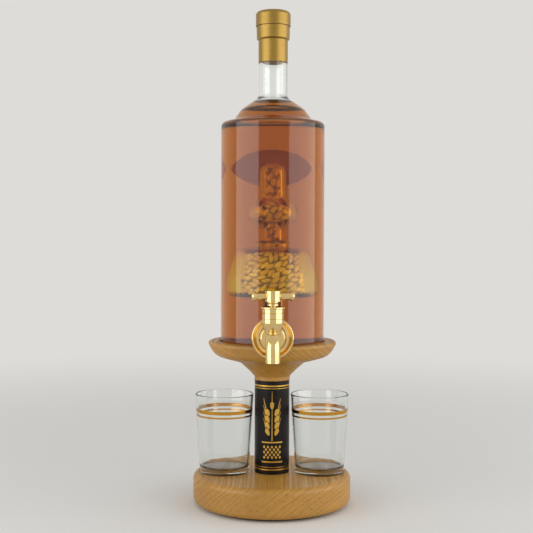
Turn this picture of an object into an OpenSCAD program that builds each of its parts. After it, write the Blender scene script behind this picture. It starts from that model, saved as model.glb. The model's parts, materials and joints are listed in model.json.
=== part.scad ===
// Whisky decanter with a tap, on a turned oak stand that also holds two shot glasses.
// Millimetres, +Z up. The origin is the centre of the felt's underside, and the tap points along -Y.

/* [Base] */
// Diameter of the oak base
base_d = 137.5; // [134:0.5:152]
// Thickness of the oak base
base_t = 25.4; // [22:0.2:34]
// Rounding of the base's top edge
base_top_r = 5; // [1:0.5:5]
// Rounding of the base's bottom edge
base_heel_r = 5; // [1:0.5:8]
// Diameter of the felt under the base
felt_d = 120; // [100:1:124]
// Thickness of the felt
felt_t = 2; // [1:0.25:4]
// Depth of the recess that each shot glass stands in
recess_depth = 3.5; // [2:0.25:6]
// Radial room round a glass's foot in its recess
recess_gap = 0.5; // [0.4:0.1:1.2]
// Gap between a glass's rim and the column
glass_gap = 0.8; // [0.6:0.1:2]

/* [Column] */
// Diameter of the oak dowel
column_d = 29.6; // [26:0.2:31]
// Height of the column between the base and the bowl
column_h = 81; // [78:0.5:110]
// Thickness of the sleeve round the dowel
wrap_t = 0.4; // [0.2:0.1:0.8]
// Diameter of the tenon at each end of the dowel
tenon_d = 16; // [12:0.5:20]
// Length of each tenon
tenon_len = 12; // [8:0.5:15]

/* [Bowl] */
// Diameter of the bowl's rim
bowl_d = 111.4; // [106:0.2:130]
// Height of the bowl with its foot ring
bowl_h = 34.1; // [32:0.1:42]
// Diameter of the foot ring
ring_d = 31; // [30:0.2:34]
// Height of the foot ring
ring_h = 3.2; // [1.5:0.1:4]
// How far the foot swells out past the ring
foot_swell = 5; // [4:0.25:8]
// Height of the foot's swell
foot_h = 8.4; // [6:0.1:9.5]
// Radius at which the foot meets the bowl's underside
cove_at_r = 28.5; // [26:0.25:34]
// Height at which the foot meets the bowl's underside
cove_at_h = 15.6; // [14:0.1:18]
// How far in from the rim the side turns under
side_in = 5.3; // [4:0.1:7]
// Height of the side above its turn
side_h = 12.4; // [11:0.1:15]
// Height of the upright band at the rim
rim_band_h = 2.6; // [2.2:0.1:4]
// Rounding of the rim's outer edge
lip_r = 2; // [0.5:0.1:2]
// Depth of the seat for the bottle
seat_depth = 6; // [4:0.25:9]
// Radial room round the bottle in its seat
seat_gap = 0.6; // [0.4:0.1:1.5]

/* [Wood screws] */
// Shank diameter of the two wood screws
screw_d = 4; // [3:0.25:5]
// Head diameter of the two wood screws
screw_head_d = 8; // [6:0.25:10]
// Height of a screw's countersunk head
screw_head_h = 2.6; // [2:0.1:4]
// Length of a screw
screw_len = 36; // [28:1:45]

/* [Shot glasses] */
// Outside diameter at the rim
glass_rim_d = 51.2; // [48:0.2:53]
// Outside diameter at the foot
glass_foot_d = 42.8; // [38:0.2:43]
// Height of a glass
glass_h = 72; // [60:0.5:78]
// Thickness of the wall
glass_wall = 1.8; // [1.2:0.1:3]
// Thickness of the heavy floor
glass_floor = 8; // [4:0.5:14]
// Rounding of the foot's edge
glass_foot_r = 2; // [0.5:0.1:3]

/* [Bottle] */
// Outside diameter of the body
bottle_d = 90; // [84:0.5:96]
// Thickness of the wall
bottle_wall = 3; // [2:0.1:4]
// Thickness of the floor
bottle_floor = 4; // [3:0.25:6]
// Thickness of the glass at the shoulder
shoulder_wall = 2; // [1.6:0.1:2.6]
// Height of the body up to the shoulder's corner
body_h = 195; // [180:0.5:230]
// Rounding between the floor and the body
heel_r = 5; // [3:0.25:7]
// Rounding of the shoulder's corner
shoulder_r = 3.5; // [3:0.25:6]
// Width of the nearly flat ledge of the shoulder
ledge_w = 10.5; // [9:0.25:13]
// Rise of that ledge
ledge_rise = 2.5; // [1.5:0.25:4]
// Rise of the dome from the ledge to its bend
dome_rise = 9.5; // [8:0.25:11]
// How far in from the ledge the dome bends
dome_in = 7; // [6:0.25:8]
// Rise of the cone from the dome's bend to the neck
cone_rise = 10.5; // [9:0.25:12.5]
// Outside diameter of the neck
neck_d = 24.8; // [23.4:0.1:26.4]
// Length of the neck up to the lip
neck_h = 61; // [55:0.5:80]
// Bore of the neck
bore_d = 18.5; // [16:0.25:19]
// Diameter of the finish at the lip
finish_d = 28.4; // [27.4:0.1:29]
// Diameter of the finish at its lower end
finish_low_d = 27.8; // [26.6:0.1:28]
// Height of the finish
finish_h = 10.75; // [8:0.25:14]
// Height of the whisky above the bottle's underside
fill_h = 211.5; // [175:0.5:214]
// Diameter of the round label on the back
label_d = 33; // [24:0.5:44]
// Height of the label's centre above the bottle's underside
label_h = 157; // [120:1:160]
// Thickness of the label
label_t = 0.2; // [0.1:0.05:0.4]

/* [Pot still figure] */
// Thickness of the figure's glass
still_wall = 1; // [0.8:0.1:1.4]
// Outside diameter of the stem
stem_d = 18; // [14:0.5:22]
// Height of the pot's floor above the bottle's underside
pot_z = 45.5; // [42:0.5:50]
// Inside radius of the pot
pot_r = 28.9; // [26:0.25:32]
// Height of the pot's upright side
pot_side_h = 16.5; // [14:0.25:19]
// Inside radius at the pot's top
pot_top_r = 23; // [20:0.25:24.5]
// Height from the pot's floor to its top
pot_h = 39.5; // [37:0.5:42]
// Inside radius of the collar above the pot
collar_r = 10.5; // [9:0.25:12]
// Height of the collar with the pot's crown
collar_h = 7.5; // [6.5:0.25:9]
// Inside radius of the throat and of the neck above it
throat_r = 6.7; // [5.5:0.1:7.5]
// Height of the throat
throat_h = 11.5; // [10:0.25:14]
// Inside radius of the bulb
bulb_r = 15.25; // [13:0.25:17]
// Height of the bulb
bulb_h = 25.8; // [23:0.2:28]
// Inside radius of the spire at its foot
spire_low_r = 7.9; // [7.4:0.1:8.8]
// Inside radius of the spire at its top
spire_top_r = 7.2; // [6.4:0.1:7.8]
// Height of the spire
spire_h = 29; // [24:0.2:32]

/* [Barley] */
// Length of a grain
grain_l = 9.4; // [7:0.1:11]
// Width of a grain
grain_w = 4.1; // [3:0.1:5]
// How far the outer grains stand out of the heap
grain_relief = 2.8; // [1.5:0.1:3.4]
// Distance between grains along a row
grain_pitch = 14; // [11:0.5:20]
// Distance between rows of grains
grain_row = 7.5; // [6:0.1:10]
// Slant of the grains in a row
grain_slant = 24; // [0:1:40]

/* [Stopper and capsule] */
// Diameter of the stopper's head
head_d = 29.6; // [28:0.1:31]
// Height of the stopper's head
head_h = 12.7; // [9:0.1:15]
// Rounding of the head's top edge
head_edge_r = 2.8; // [1:0.1:4]
// Length of cork below the lip
cork_len = 28; // [20:0.5:36]
// Length of cork held in the head
cork_grip = 5; // [3:0.25:7]
// Thickness of the shrink film
film_t = 0.3; // [0.2:0.05:0.5]
// Length of the film's sleeve below the lip
sleeve_len = 31; // [24:0.5:40]

/* [Tap] */
// Height of the tap's axis above the bottle's underside
tap_h = 14; // [13.5:0.25:17]
// Diameter of the glass boss
boss_d = 22; // [19:0.25:24]
// Bore of the glass boss
boss_bore_d = 15; // [13.5:0.25:16]
// Radius of the boss's flare where it leaves the bottle
flare_r = 16; // [14:0.25:16.5]
// Length of the flare in front of the bottle
flare_len = 5; // [3:0.25:7]
// Gap between the bowl's rim and the tap's rosette
rim_gap = 1.5; // [1:0.1:3]
// Thickness of the washer behind the rosette
washer_t = 2; // [1.5:0.1:3]
// Diameter of that washer
washer_d = 29; // [24:0.5:32]
// Diameter of the rosette
rosette_d = 34.4; // [32:0.2:37]
// Depth of the rosette at its rim
rosette_rim_t = 5.8; // [4.5:0.1:7]
// Depth of the rosette at its middle
rosette_seat_t = 4.3; // [3.4:0.1:5]
// Depth of the rosette's dish floor
rosette_dish_t = 2.2; // [1.6:0.1:3]
// Diameter of the tail that goes into the bottle
tail_d = 9; // [8:0.25:10.5]
// How far the tail reaches past the bottle's inner wall
tail_in = 4; // [2.5:0.25:5]
// Bore of the tail
tail_bore_d = 5.2; // [4:0.1:5.6]
// Diameter of the flange in front of the rosette
flange_d = 19.6; // [17:0.2:21]
// Thickness of that flange
flange_t = 3; // [2:0.25:4]
// Distance from the flange to the valve's axis
valve_reach = 9.5; // [9.3:0.1:14]
// Diameter of the valve chamber
chamber_d = 17.1; // [16.5:0.1:18.3]
// Diameter of the pipe that carries the chamber
pipe_d = 12; // [11.6:0.1:13]
// Height of the chamber's top above the tap's axis
chamber_h = 16.9; // [16.5:0.1:20]
// Height of the straight part of the chamber
chamber_band_h = 3.4; // [2.5:0.1:5]
// Height of the taper under it
chamber_taper_h = 9; // [7:0.25:10]
// Depth of the chamber below the tap's axis
chamber_drop = 9.5; // [9:0.25:11]
// Diameter of the spout
spout_d = 11.4; // [10:0.1:12.4]
// Bore of the spout
spout_bore_d = 6.4; // [5:0.1:7]
// Distance from the valve's axis to the spout's axis
spout_reach = 16; // [15.5:0.25:20]
// Rise of the spout's crest above the tap's axis
spout_rise = 1.3; // [0:0.1:1.6]
// Bend radius of the spout
spout_bend_r = 8; // [7:0.1:9]
// Drop of the outlet below the tap's axis
spout_drop = 16.8; // [15:0.2:26]

/* [Tap key] */
// Diameter of the valve plug
plug_d = 8.3; // [7.6:0.1:8.6]
// Bore across the plug
port_d = 4.4; // [3.5:0.1:4.8]
// Diameter of the plug's spindle
spindle_d = 5; // [4.2:0.1:5.4]
// Height of the bonnet above the chamber
bonnet_h = 9.6; // [8:0.1:11]
// Diameter of the bonnet's flange
bonnet_flange_d = 19.2; // [18.6:0.1:20]
// Diameter of the handle's hub
hub_d = 12.6; // [11.5:0.1:14]
// Height of the handle's hub
hub_h = 9.3; // [8:0.1:11]
// Diameter of the neck under the hub
hub_neck_d = 8.9; // [8.2:0.1:9.6]
// Height of the neck under the hub
hub_neck_h = 3.4; // [3:0.1:6]
// Diameter of the handle's bar
bar_d = 5.8; // [5:0.1:6.4]
// Length of the handle over its tips
bar_len = 35; // [30:0.5:44]
// Diameter of the handle's tips
tip_d = 7.6; // [7.2:0.1:8.6]
// Length of a tip
tip_len = 3.4; // [2.8:0.1:5]
// Turn of the closed handle from straight across
handle_yaw = 10; // [0:1:20]

/* [Fits] */
// Room round a piece that is glued, pressed or screwed in
fit_gap = 0.05; // [0.03:0.01:0.1]
// Radial room of the turning plug and spindle
turn_gap = 0.05; // [0.03:0.01:0.1]
// Room under a turning face
face_gap = 0.3; // [0.2:0.05:0.5]
// Room between the whisky or the barley and the glass
fill_gap = 0.1; // [0.05:0.05:0.3]
// Room between the outer grains of barley and the glass
grain_room = 0.6; // [0.3:0.1:1]
// Room round the boss's flare in the bowl's notch
notch_gap = 0.6; // [0.4:0.1:1.2]

/* [Hidden] */
$fn = 96;
// Steps in each rounded corner of an outline
arc_steps = 8;
// Roundings of small edges
edge_r = 0.3;
soft_edge_r = 0.6;
bold_edge_r = 0.8;
// How far a cutting shape runs past the face that it cuts
cut = 1;

// Heights of the stack, from the felt up
base_top_z = felt_t + base_t;
bowl_z = base_top_z + column_h;
seat_z = bowl_z + bowl_h - seat_depth;
bottle_z = seat_z;

// Radii and places on the stand
column_r = column_d / 2;
wrap_r = column_r + fit_gap + wrap_t;
tenon_r = tenon_d / 2;
screw_r = screw_d / 2;
screw_head_r = screw_head_d / 2;
screw_point_len = 3;
screw_point_r = 0.3;
screw_rim_h = 0.3;
socket_room = 0.3;
glass_x = wrap_r + glass_gap + glass_rim_d / 2;
glass_z = base_top_z - recess_depth;
bowl_r = bowl_d / 2;
ring_r = ring_d / 2;
seat_r = bottle_d / 2 + seat_gap;
seat_edge_r = 1.2;
ring_edge_r = 0.5;
swell_r = 12;
cove_r = 8;
belly_r = 14;
band_r = 1;
glass_floor_r = 3;
glass_rim_round = 0.45 * glass_wall;

// Radii and heights on the bottle, from its underside
bottle_r = bottle_d / 2;
bottle_in_r = bottle_r - bottle_wall;
ledge_r = bottle_r - ledge_w;
ledge_h = body_h + ledge_rise;
dome_r = ledge_r - dome_in;
dome_h = ledge_h + dome_rise;
neck_base_h = dome_h + cone_rise;
lip_h = neck_base_h + neck_h;
neck_r = neck_d / 2;
bore_r = bore_d / 2;
cone_slope = cone_rise / (dome_r - neck_r);
ledge_round_r = 8;
dome_round_r = 12;
neck_round_r = 6;
heel_in_r = heel_r - bottle_wall + 1;
finish_taper_h = 1.2;
finish_edge_r = 1;

// Radii and heights on the pot still figure
stem_r = stem_d / 2;
pot_round_r = 5;
pot_shoulder_r = 40;
pot_crown_r = 7;
collar_round_r = 1.4;
throat_round_r = 2.6;
bulb_end_round_r = 4;
bulb_slope_h = 0.31 * bulb_h;
bulb_round_r = 0.36 * bulb_h;
spire_round_gap = 0.5;
crown_rise = 2;
crown_h = pot_z + pot_h + crown_rise;
collar_step_h = 1;
throat_z = pot_z + pot_h + collar_h;
bulb_z = throat_z + throat_h;
spire_z = bulb_z + bulb_h;
still_top_z = spire_z + spire_h;
bung_room = 3;
upright_slant = 72;
grain_sides = 6;
heap_sides = 24;

// Distances along the tap, from the bottle's axis
tap_z = bottle_z + tap_h;
rosette_at = bowl_r + rim_gap;
boss_face = rosette_at - washer_t;
flange_at = rosette_at + rosette_seat_t;
valve_at = flange_at + flange_t + valve_reach;
spout_at = valve_at + spout_reach;
tail_end = bottle_in_r - tail_in;
bung_past_wall = 1;
bung_end = bottle_in_r - bung_past_wall;
boss_r = boss_d / 2;
boss_bore_r = boss_bore_d / 2;
tail_r = tail_d / 2;
notch_r = flare_r + notch_gap;

// Radii and heights on the valve, from the tap's axis
pipe_r = pipe_d / 2;
chamber_r = chamber_d / 2;
spout_r = spout_d / 2;
spout_bore_r = spout_bore_d / 2;
plug_r = plug_d / 2;
plug_bore_r = plug_r + turn_gap;
chamber_floor_t = 3.5;
chamber_foot_r = 1.6;
chamber_waist_r = 3;
chamber_hip_r = 2;
plug_low = chamber_floor_t - chamber_drop;
plug_foot_gap = 0.4;
well_step = 2.1;
well_depth = 6.6;
well_r = plug_bore_r + well_step;
well_floor = chamber_h - well_depth;
plug_collar_gap = 0.4;
plug_collar_h = 2.2;
plug_collar_r = well_r - plug_collar_gap;
plug_collar_low = well_floor + face_gap / 3;
plug_collar_top = well_floor + plug_collar_h;
spindle_r = spindle_d / 2;
spindle_hole_r = spindle_r + turn_gap;
packing_t = 2.1;
packing_low = plug_collar_top + face_gap / 3;
spigot_low = packing_low + packing_t;
bonnet_top = chamber_h + bonnet_h;
bonnet_flange_t = 1.8;
bonnet_groove_h = 4.5;
groove_deep = 0.35;
groove_half_w = 0.3;
neck_low = bonnet_top + face_gap;
hub_low = neck_low + hub_neck_h;
hub_top = hub_low + hub_h;
bar_at = hub_low + hub_h / 2;
bar_r = bar_d / 2;
spindle_end_gap = 0.5;
spindle_top = bar_at - bar_r - spindle_end_gap;
tip_r = tip_d / 2;
tip_socket = tip_len / 2;
tip_round_r = 2.2;
seal_r = 0.55;
seal_at = plug_bore_r - turn_gap - seal_r;
seal_below = 1.2;
seal_above = 3.2;
seal_heights = [-(port_d / 2 + seal_below), port_d / 2 + seal_above];
grub_r = 1;
grub_at = neck_low + hub_neck_h / 2;

// Unit vector along v
function unit(v) = v / norm(v);

// Points of the arc that rounds the corner at p, between a and b, with radius r
function corner(a, p, b, r) =
    let (
        u = unit(a - p),
        v = unit(b - p),
        half = acos(u * v) / 2,
        mid = p + unit(u + v) * r / sin(half),
        start = p + u * r / tan(half) - mid,
        end = p + v * r / tan(half) - mid,
        turn = atan2(cross(start, end), start * end),
        from = atan2(start.y, start.x)
    )
    [
        for (i = [0 : arc_steps])
            let (at = from + turn * i / arc_steps)
            mid + r * [cos(at), sin(at)]
    ];

// Closed outline through points [x, y] or [x, y, r], where r rounds that corner
function rounded(points) =
    let (n = len(points))
    [
        for (i = [0 : n - 1])
            let (
                before = points[(i + n - 1) % n],
                here = points[i],
                after = points[(i + 1) % n],
                p = [here[0], here[1]]
            )
            each len(here) < 3
                ? [p]
                : corner([before[0], before[1]], p, [after[0], after[1]], here[2])
    ];

// Solid of revolution of an outline of radius and height
module turned(points) {
    rotate_extrude() polygon(rounded(points));
}

// Ring with square edges
module ring(inner_r, outer_r, h) {
    rotate_extrude() translate([inner_r, 0]) square([outer_r - inner_r, h]);
}

// Children moved to the bottle's underside
module on_bottle() {
    translate([0, 0, bottle_z]) children();
}

// Children turned so that their +Z runs along the tap, at this distance from the bottle's axis
module along_tap(at) {
    translate([0, -at, tap_z]) rotate([90, 0, 0]) children();
}

// Children moved to the valve's axis, at the height of the tap's axis
module on_valve() {
    translate([0, -valve_at, tap_z]) children();
}

// Children turned with the tap's handle
module on_key() {
    on_valve() rotate([0, 0, handle_yaw]) children();
}

// Countersunk wood screw, with its head's flat at the origin and its point towards +Z
module wood_screw(room) {
    turned([
        [0, -room],
        [screw_head_r + room, -room],
        [screw_head_r + room, screw_rim_h],
        [screw_r + room, screw_head_h],
        [screw_r + room, screw_len - screw_point_len],
        [screw_point_r + room, screw_len + room],
        [0, screw_len + room]
    ]);
}

// The stand's lower screw
module lower_screw(room) {
    translate([0, 0, felt_t]) wood_screw(room);
}

// The stand's upper screw
module upper_screw(room) {
    translate([0, 0, seat_z]) mirror([0, 0, 1]) wood_screw(room);
}

module base_disc() {
    color("#B58A45")
    difference() {
        translate([0, 0, felt_t]) turned([
            [0, 0],
            [base_d / 2, 0, base_heel_r],
            [base_d / 2, base_t, base_top_r],
            [0, base_t]
        ]);
        for (side = [-1, 1])
            translate([side * glass_x, 0, glass_z])
                cylinder(r = glass_foot_d / 2 + recess_gap, h = recess_depth + cut);
        translate([0, 0, base_top_z - tenon_len - socket_room])
            cylinder(r = tenon_r + fit_gap, h = tenon_len + socket_room + cut);
        lower_screw(fit_gap);
    }
}

module base_felt() {
    color("#1E2B22") cylinder(d = felt_d, h = felt_t);
}

module base_screw() {
    color("#B9B7B0") lower_screw(0);
}

module bowl_screw() {
    color("#B9B7B0") upper_screw(0);
}

module column_dowel() {
    color("#A67C3C")
    difference() {
        union() {
            translate([0, 0, base_top_z]) cylinder(r = column_r, h = column_h);
            translate([0, 0, base_top_z - tenon_len])
                cylinder(r = tenon_r, h = column_h + 2 * tenon_len);
        }
        lower_screw(fit_gap);
        upper_screw(fit_gap);
    }
}

module column_wrap() {
    color("#120C0B")
    translate([0, 0, base_top_z]) ring(column_r + fit_gap, wrap_r, column_h);
}

module bowl() {
    color("#B58A45")
    difference() {
        translate([0, 0, bowl_z]) turned([
            [0, 0],
            [ring_r, 0, ring_edge_r],
            [ring_r, ring_h],
            [ring_r + foot_swell, foot_h, swell_r],
            [cove_at_r, cove_at_h, cove_r],
            [bowl_r - side_in, bowl_h - side_h, belly_r],
            [bowl_r, bowl_h - rim_band_h, band_r],
            [bowl_r, bowl_h, lip_r],
            [seat_r, bowl_h, seat_edge_r],
            [seat_r, bowl_h - seat_depth],
            [0, bowl_h - seat_depth]
        ]);
        translate([0, 0, bowl_z - cut])
            cylinder(r = tenon_r + fit_gap, h = tenon_len + socket_room + cut);
        upper_screw(fit_gap);
        intersection() {
            along_tap(0) cylinder(r = notch_r, h = bowl_r + cut);
            translate([-notch_r, -bowl_r - cut, seat_z])
                cube([2 * notch_r, bowl_r + cut, seat_depth + cut]);
        }
    }
}

// Outline of the bottle's outside
function bottle_outline() = rounded([
    [0, 0],
    [bottle_r, 0, heel_r],
    [bottle_r, body_h, shoulder_r],
    [ledge_r, ledge_h, ledge_round_r],
    [dome_r, dome_h, dome_round_r],
    [neck_r, neck_base_h, neck_round_r],
    [neck_r, lip_h - finish_h - finish_taper_h],
    [finish_low_d / 2, lip_h - finish_h],
    [finish_d / 2, lip_h, finish_edge_r],
    [0, lip_h]
]);

// Outline of the bottle's inside, drawn in by room
function bottle_inside(room) =
    let (
        r = bottle_in_r - room,
        drop = shoulder_wall + room,
        bend_r = dome_r - shoulder_wall / 2
    )
    rounded([
        [0, bottle_floor + room],
        [r, bottle_floor + room, heel_in_r],
        [r, body_h - drop, shoulder_r - shoulder_wall],
        [bend_r + dome_in, ledge_h - drop, ledge_round_r],
        [bend_r, dome_h - drop, dome_round_r],
        [bore_r - room, dome_h - drop + cone_slope * (bend_r - bore_r), neck_round_r],
        [bore_r - room, lip_h + cut],
        [0, lip_h + cut]
    ]);

module bottle_glass() {
    color("#E9F2EE", 0.35)
    difference() {
        union() {
            on_bottle() rotate_extrude() polygon(bottle_outline());
            along_tap(bottle_in_r) cylinder(r = boss_r, h = boss_face - bottle_in_r);
            intersection() {
                along_tap(bottle_in_r)
                    cylinder(r1 = flare_r, r2 = boss_r, h = bottle_wall + flare_len);
                on_bottle() cylinder(r = bottle_r + flare_len + cut, h = body_h);
            }
        }
        on_bottle() rotate_extrude() polygon(bottle_inside(0));
        on_bottle() translate([0, 0, -cut])
            cylinder(r = stem_r + fit_gap, h = bottle_floor + 2 * cut);
        along_tap(bottle_in_r / 2) cylinder(r = boss_bore_r, h = boss_face);
    }
}

// Outline of the pot still figure without its stem. Room 0 is the inside of its glass.
function still_outline(room) = rounded([
    [0, pot_z - room],
    [pot_r + room, pot_z - room, pot_round_r + room],
    [pot_r + room, pot_z + pot_side_h, pot_shoulder_r],
    [pot_top_r + room, pot_z + pot_h + room / 2, pot_crown_r + room],
    [collar_r + room, crown_h + room, edge_r],
    [collar_r + room, throat_z - collar_step_h + room, collar_round_r + room],
    [throat_r + room, throat_z + room, throat_round_r - room],
    [throat_r + room, bulb_z - room / 2, bulb_end_round_r - room],
    [bulb_r + room, bulb_z + bulb_slope_h - room / 2, bulb_round_r + room],
    [bulb_r + room, spire_z - bulb_slope_h + room / 2, bulb_round_r + room],
    [spire_low_r + room, spire_z + room / 2, bulb_end_round_r - room],
    [spire_top_r + room, still_top_z + room, spire_top_r - spire_round_gap + room],
    [0, still_top_z + room]
]);

module pot_still() {
    color("#DDE8E4", 0.35)
    on_bottle() difference() {
        union() {
            rotate_extrude() polygon(still_outline(still_wall));
            cylinder(r = stem_r, h = pot_z);
        }
        rotate_extrude() polygon(still_outline(0));
        translate([0, 0, -cut]) cylinder(r = stem_r - still_wall, h = pot_z + 2 * cut);
    }
}

// Half outline of the barley heap, at this depth behind the figure's glass
function heap_outline(d) = [
    [0, pot_z + fill_gap],
    [pot_r - pot_round_r, pot_z + fill_gap],
    [pot_r - d, pot_z + pot_round_r],
    [pot_r - d, pot_z + pot_side_h],
    [pot_top_r - d, pot_z + pot_h - d],
    [collar_r - d, crown_h - d],
    [collar_r - d, throat_z - collar_step_h - d],
    [throat_r - d, throat_z - d],
    [throat_r - d, bulb_z + d / 2],
    [bulb_r - d, bulb_z + bulb_slope_h + d / 2],
    [bulb_r - d, spire_z - bulb_slope_h - d / 2],
    [spire_low_r - d, spire_z - d / 2],
    [spire_top_r - d, still_top_z - spire_top_r],
    [0, still_top_z - d]
];

// Length of a path up to its point i
function path_len(path, i) = i == 0 ? 0 : path_len(path, i - 1) + norm(path[i] - path[i - 1]);

// Place and direction at distance s along a path
function path_spot(path, s) =
    let (
        i = max([for (k = [0 : len(path) - 2]) if (path_len(path, k) <= s) k]),
        way = unit(path[i + 1] - path[i])
    )
    [path[i] + way * (s - path_len(path, i)), way];

// One grain along Y
module grain() {
    hull()
        for (side = [-1, 1])
            rotate([side * 90, 0, 0])
                cylinder(d1 = grain_w, d2 = 0, h = grain_l / 2, $fn = grain_sides);
}

// Rows of grains that lie against the figure's glass, upright where it is narrow
module outer_grains() {
    outline = heap_outline(fill_gap + grain_room + grain_w / 2);
    path = [for (i = [2 : len(outline) - 1]) outline[i]];
    rows = floor(path_len(path, len(path) - 1) / grain_row);
    for (row = [0 : rows - 1]) {
        spot = path_spot(path, (row + 0.5) * grain_row);
        r = spot[0].x;
        narrow = r < grain_l;
        slant = narrow ? upright_slant : grain_slant * (row % 2 == 0 ? 1 : -1);
        count = max(3, floor(2 * PI * r / (narrow ? grain_row : grain_pitch)));
        for (k = [0 : count - 1])
            rotate([0, 0, 360 * (k + row % 2 / 2) / count])
            translate([r, 0, spot[0].y])
            rotate([0, atan2(spot[1].x, spot[1].y), 0])
            rotate([slant, 0, 0])
                grain();
    }
}

module barley_fill() {
    color("#D2A24A")
    on_bottle() intersection() {
        union() {
            rotate_extrude($fn = heap_sides)
                polygon(heap_outline(fill_gap + grain_room + grain_relief));
            outer_grains();
        }
        rotate_extrude() polygon(still_outline(-fill_gap));
    }
}

module still_bung() {
    color("#1A1716")
    on_bottle() translate([0, 0, bung_room])
        cylinder(r = stem_r - still_wall - fit_gap, h = pot_z - bung_room);
}

module whisky() {
    color("#B4640F", 0.6)
    difference() {
        on_bottle() rotate_extrude() difference() {
            intersection() {
                polygon(bottle_inside(fill_gap));
                square([bottle_r, fill_h]);
            }
            polygon(still_outline(still_wall + fill_gap));
            square([stem_r + fill_gap, pot_z]);
        }
        along_tap(tail_end - fill_gap) cylinder(r = boss_bore_r + fill_gap, h = boss_face);
    }
}

module rear_label() {
    color("#EADFC4")
    intersection() {
        on_bottle() ring(bottle_r + fit_gap, bottle_r + fit_gap + label_t, body_h);
        on_bottle() translate([0, bottle_in_r / 2, label_h]) rotate([-90, 0, 0])
            cylinder(d = label_d, h = bottle_d);
    }
}

module capsule_sleeve() {
    low = fit_gap;
    high = fit_gap + film_t;
    edge = 0.1;
    color("#B8893A")
    on_bottle() turned([
        [neck_r + low, lip_h - sleeve_len],
        [neck_r + high, lip_h - sleeve_len],
        [neck_r + high, lip_h - finish_h - finish_taper_h],
        [finish_low_d / 2 + high, lip_h - finish_h],
        [finish_d / 2 + high, lip_h - edge],
        [finish_d / 2 + low, lip_h - edge],
        [finish_low_d / 2 + low, lip_h - finish_h],
        [neck_r + low, lip_h - finish_h - finish_taper_h]
    ]);
}

module stopper_cork() {
    color("#C79A63")
    on_bottle() translate([0, 0, lip_h - cork_len])
        cylinder(r = bore_r - turn_gap, h = cork_len + cork_grip);
}

module stopper_head() {
    color("#2A211C")
    on_bottle() translate([0, 0, lip_h]) turned([
        [bore_r - turn_gap + fit_gap, 0],
        [head_d / 2, 0, soft_edge_r],
        [head_d / 2, head_h, head_edge_r],
        [0, head_h],
        [0, cork_grip + fit_gap],
        [bore_r - turn_gap + fit_gap, cork_grip + fit_gap]
    ]);
}

module capsule_top() {
    low = fit_gap;
    high = fit_gap + film_t;
    edge = 0.3;
    color("#B8893A")
    on_bottle() translate([0, 0, lip_h]) turned([
        [head_d / 2 + low, edge],
        [head_d / 2 + high, edge],
        [head_d / 2 + high, head_h + high, head_edge_r + high],
        [0, head_h + high],
        [0, head_h + low],
        [head_d / 2 + low, head_h + low, head_edge_r + low]
    ]);
}

module tap_bung() {
    color("#2B2B2B")
    along_tap(bung_end) ring(tail_r + fit_gap, boss_bore_r - fit_gap, boss_face - bung_end);
}

module tap_washer() {
    color("#141414")
    along_tap(boss_face) ring(tail_r + fit_gap, washer_d / 2, washer_t);
}

module tap_rosette() {
    rim_w = 1.7;
    dish_w = 3.2;
    dish_round_r = 1.4;
    seat_ledge = 0.6;
    seat_slope = 1;
    rosette_r = rosette_d / 2;
    seat_edge = flange_d / 2 + seat_ledge;
    color("#D9A93C")
    along_tap(rosette_at) turned([
        [tail_r + fit_gap, 0],
        [rosette_r, 0, bold_edge_r],
        [rosette_r, rosette_rim_t, bold_edge_r],
        [rosette_r - rim_w, rosette_rim_t, bold_edge_r],
        [rosette_r - dish_w, rosette_dish_t, dish_round_r],
        [seat_edge + seat_slope, rosette_dish_t, soft_edge_r],
        [seat_edge, rosette_seat_t, edge_r],
        [tail_r + fit_gap, rosette_seat_t]
    ]);
}

// The spout's bent pipe, from the valve's axis to the outlet
module spout_pipe(r, end_room) {
    bend_at = spout_reach - spout_bend_r;
    translate([0, 0, spout_rise]) rotate([90, 0, 0]) cylinder(r = r, h = bend_at);
    translate([0, -bend_at, spout_rise - spout_bend_r]) rotate([90, 0, -90])
        rotate_extrude(angle = 90) translate([spout_bend_r, 0]) circle(r = r);
    translate([0, -spout_reach, -spout_drop - end_room])
        cylinder(r = r, h = spout_drop + end_room + spout_rise - spout_bend_r);
}

module tap_body() {
    color("#D9A93C")
    difference() {
        union() {
            along_tap(tail_end) cylinder(r = tail_r, h = valve_at - tail_end);
            along_tap(flange_at) turned([
                [0, 0],
                [flange_d / 2, 0, edge_r],
                [flange_d / 2, flange_t, bold_edge_r],
                [0, flange_t]
            ]);
            along_tap(flange_at) cylinder(r = pipe_r, h = valve_at - flange_at);
            on_valve() turned([
                [0, -chamber_drop],
                [pipe_r, -chamber_drop, chamber_foot_r],
                [pipe_r, chamber_h - chamber_band_h - chamber_taper_h, chamber_waist_r],
                [chamber_r, chamber_h - chamber_band_h, chamber_hip_r],
                [chamber_r, chamber_h, edge_r],
                [0, chamber_h]
            ]);
            on_valve() spout_pipe(spout_r, 0);
        }
        along_tap(tail_end - cut) cylinder(d = tail_bore_d, h = valve_at - tail_end + cut);
        on_valve() translate([0, 0, plug_low])
            cylinder(r = plug_bore_r, h = chamber_h - plug_low + cut);
        on_valve() translate([0, 0, well_floor]) cylinder(r = well_r, h = chamber_h - well_floor + cut);
        on_valve() spout_pipe(spout_bore_r, cut);
    }
}

module tap_bonnet() {
    groove = chamber_h + bonnet_groove_h;
    flange_low = bonnet_top - bonnet_flange_t;
    color("#D9A93C")
    on_valve() turned([
        [spindle_hole_r, spigot_low],
        [well_r - fit_gap, spigot_low],
        [well_r - fit_gap, chamber_h],
        [chamber_r, chamber_h, edge_r],
        [chamber_r, groove - groove_half_w],
        [chamber_r - groove_deep, groove],
        [chamber_r, groove + groove_half_w],
        [chamber_r, flange_low],
        [bonnet_flange_d / 2, flange_low + edge_r, soft_edge_r],
        [bonnet_flange_d / 2, bonnet_top, soft_edge_r],
        [spindle_hole_r, bonnet_top]
    ]);
}

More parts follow.
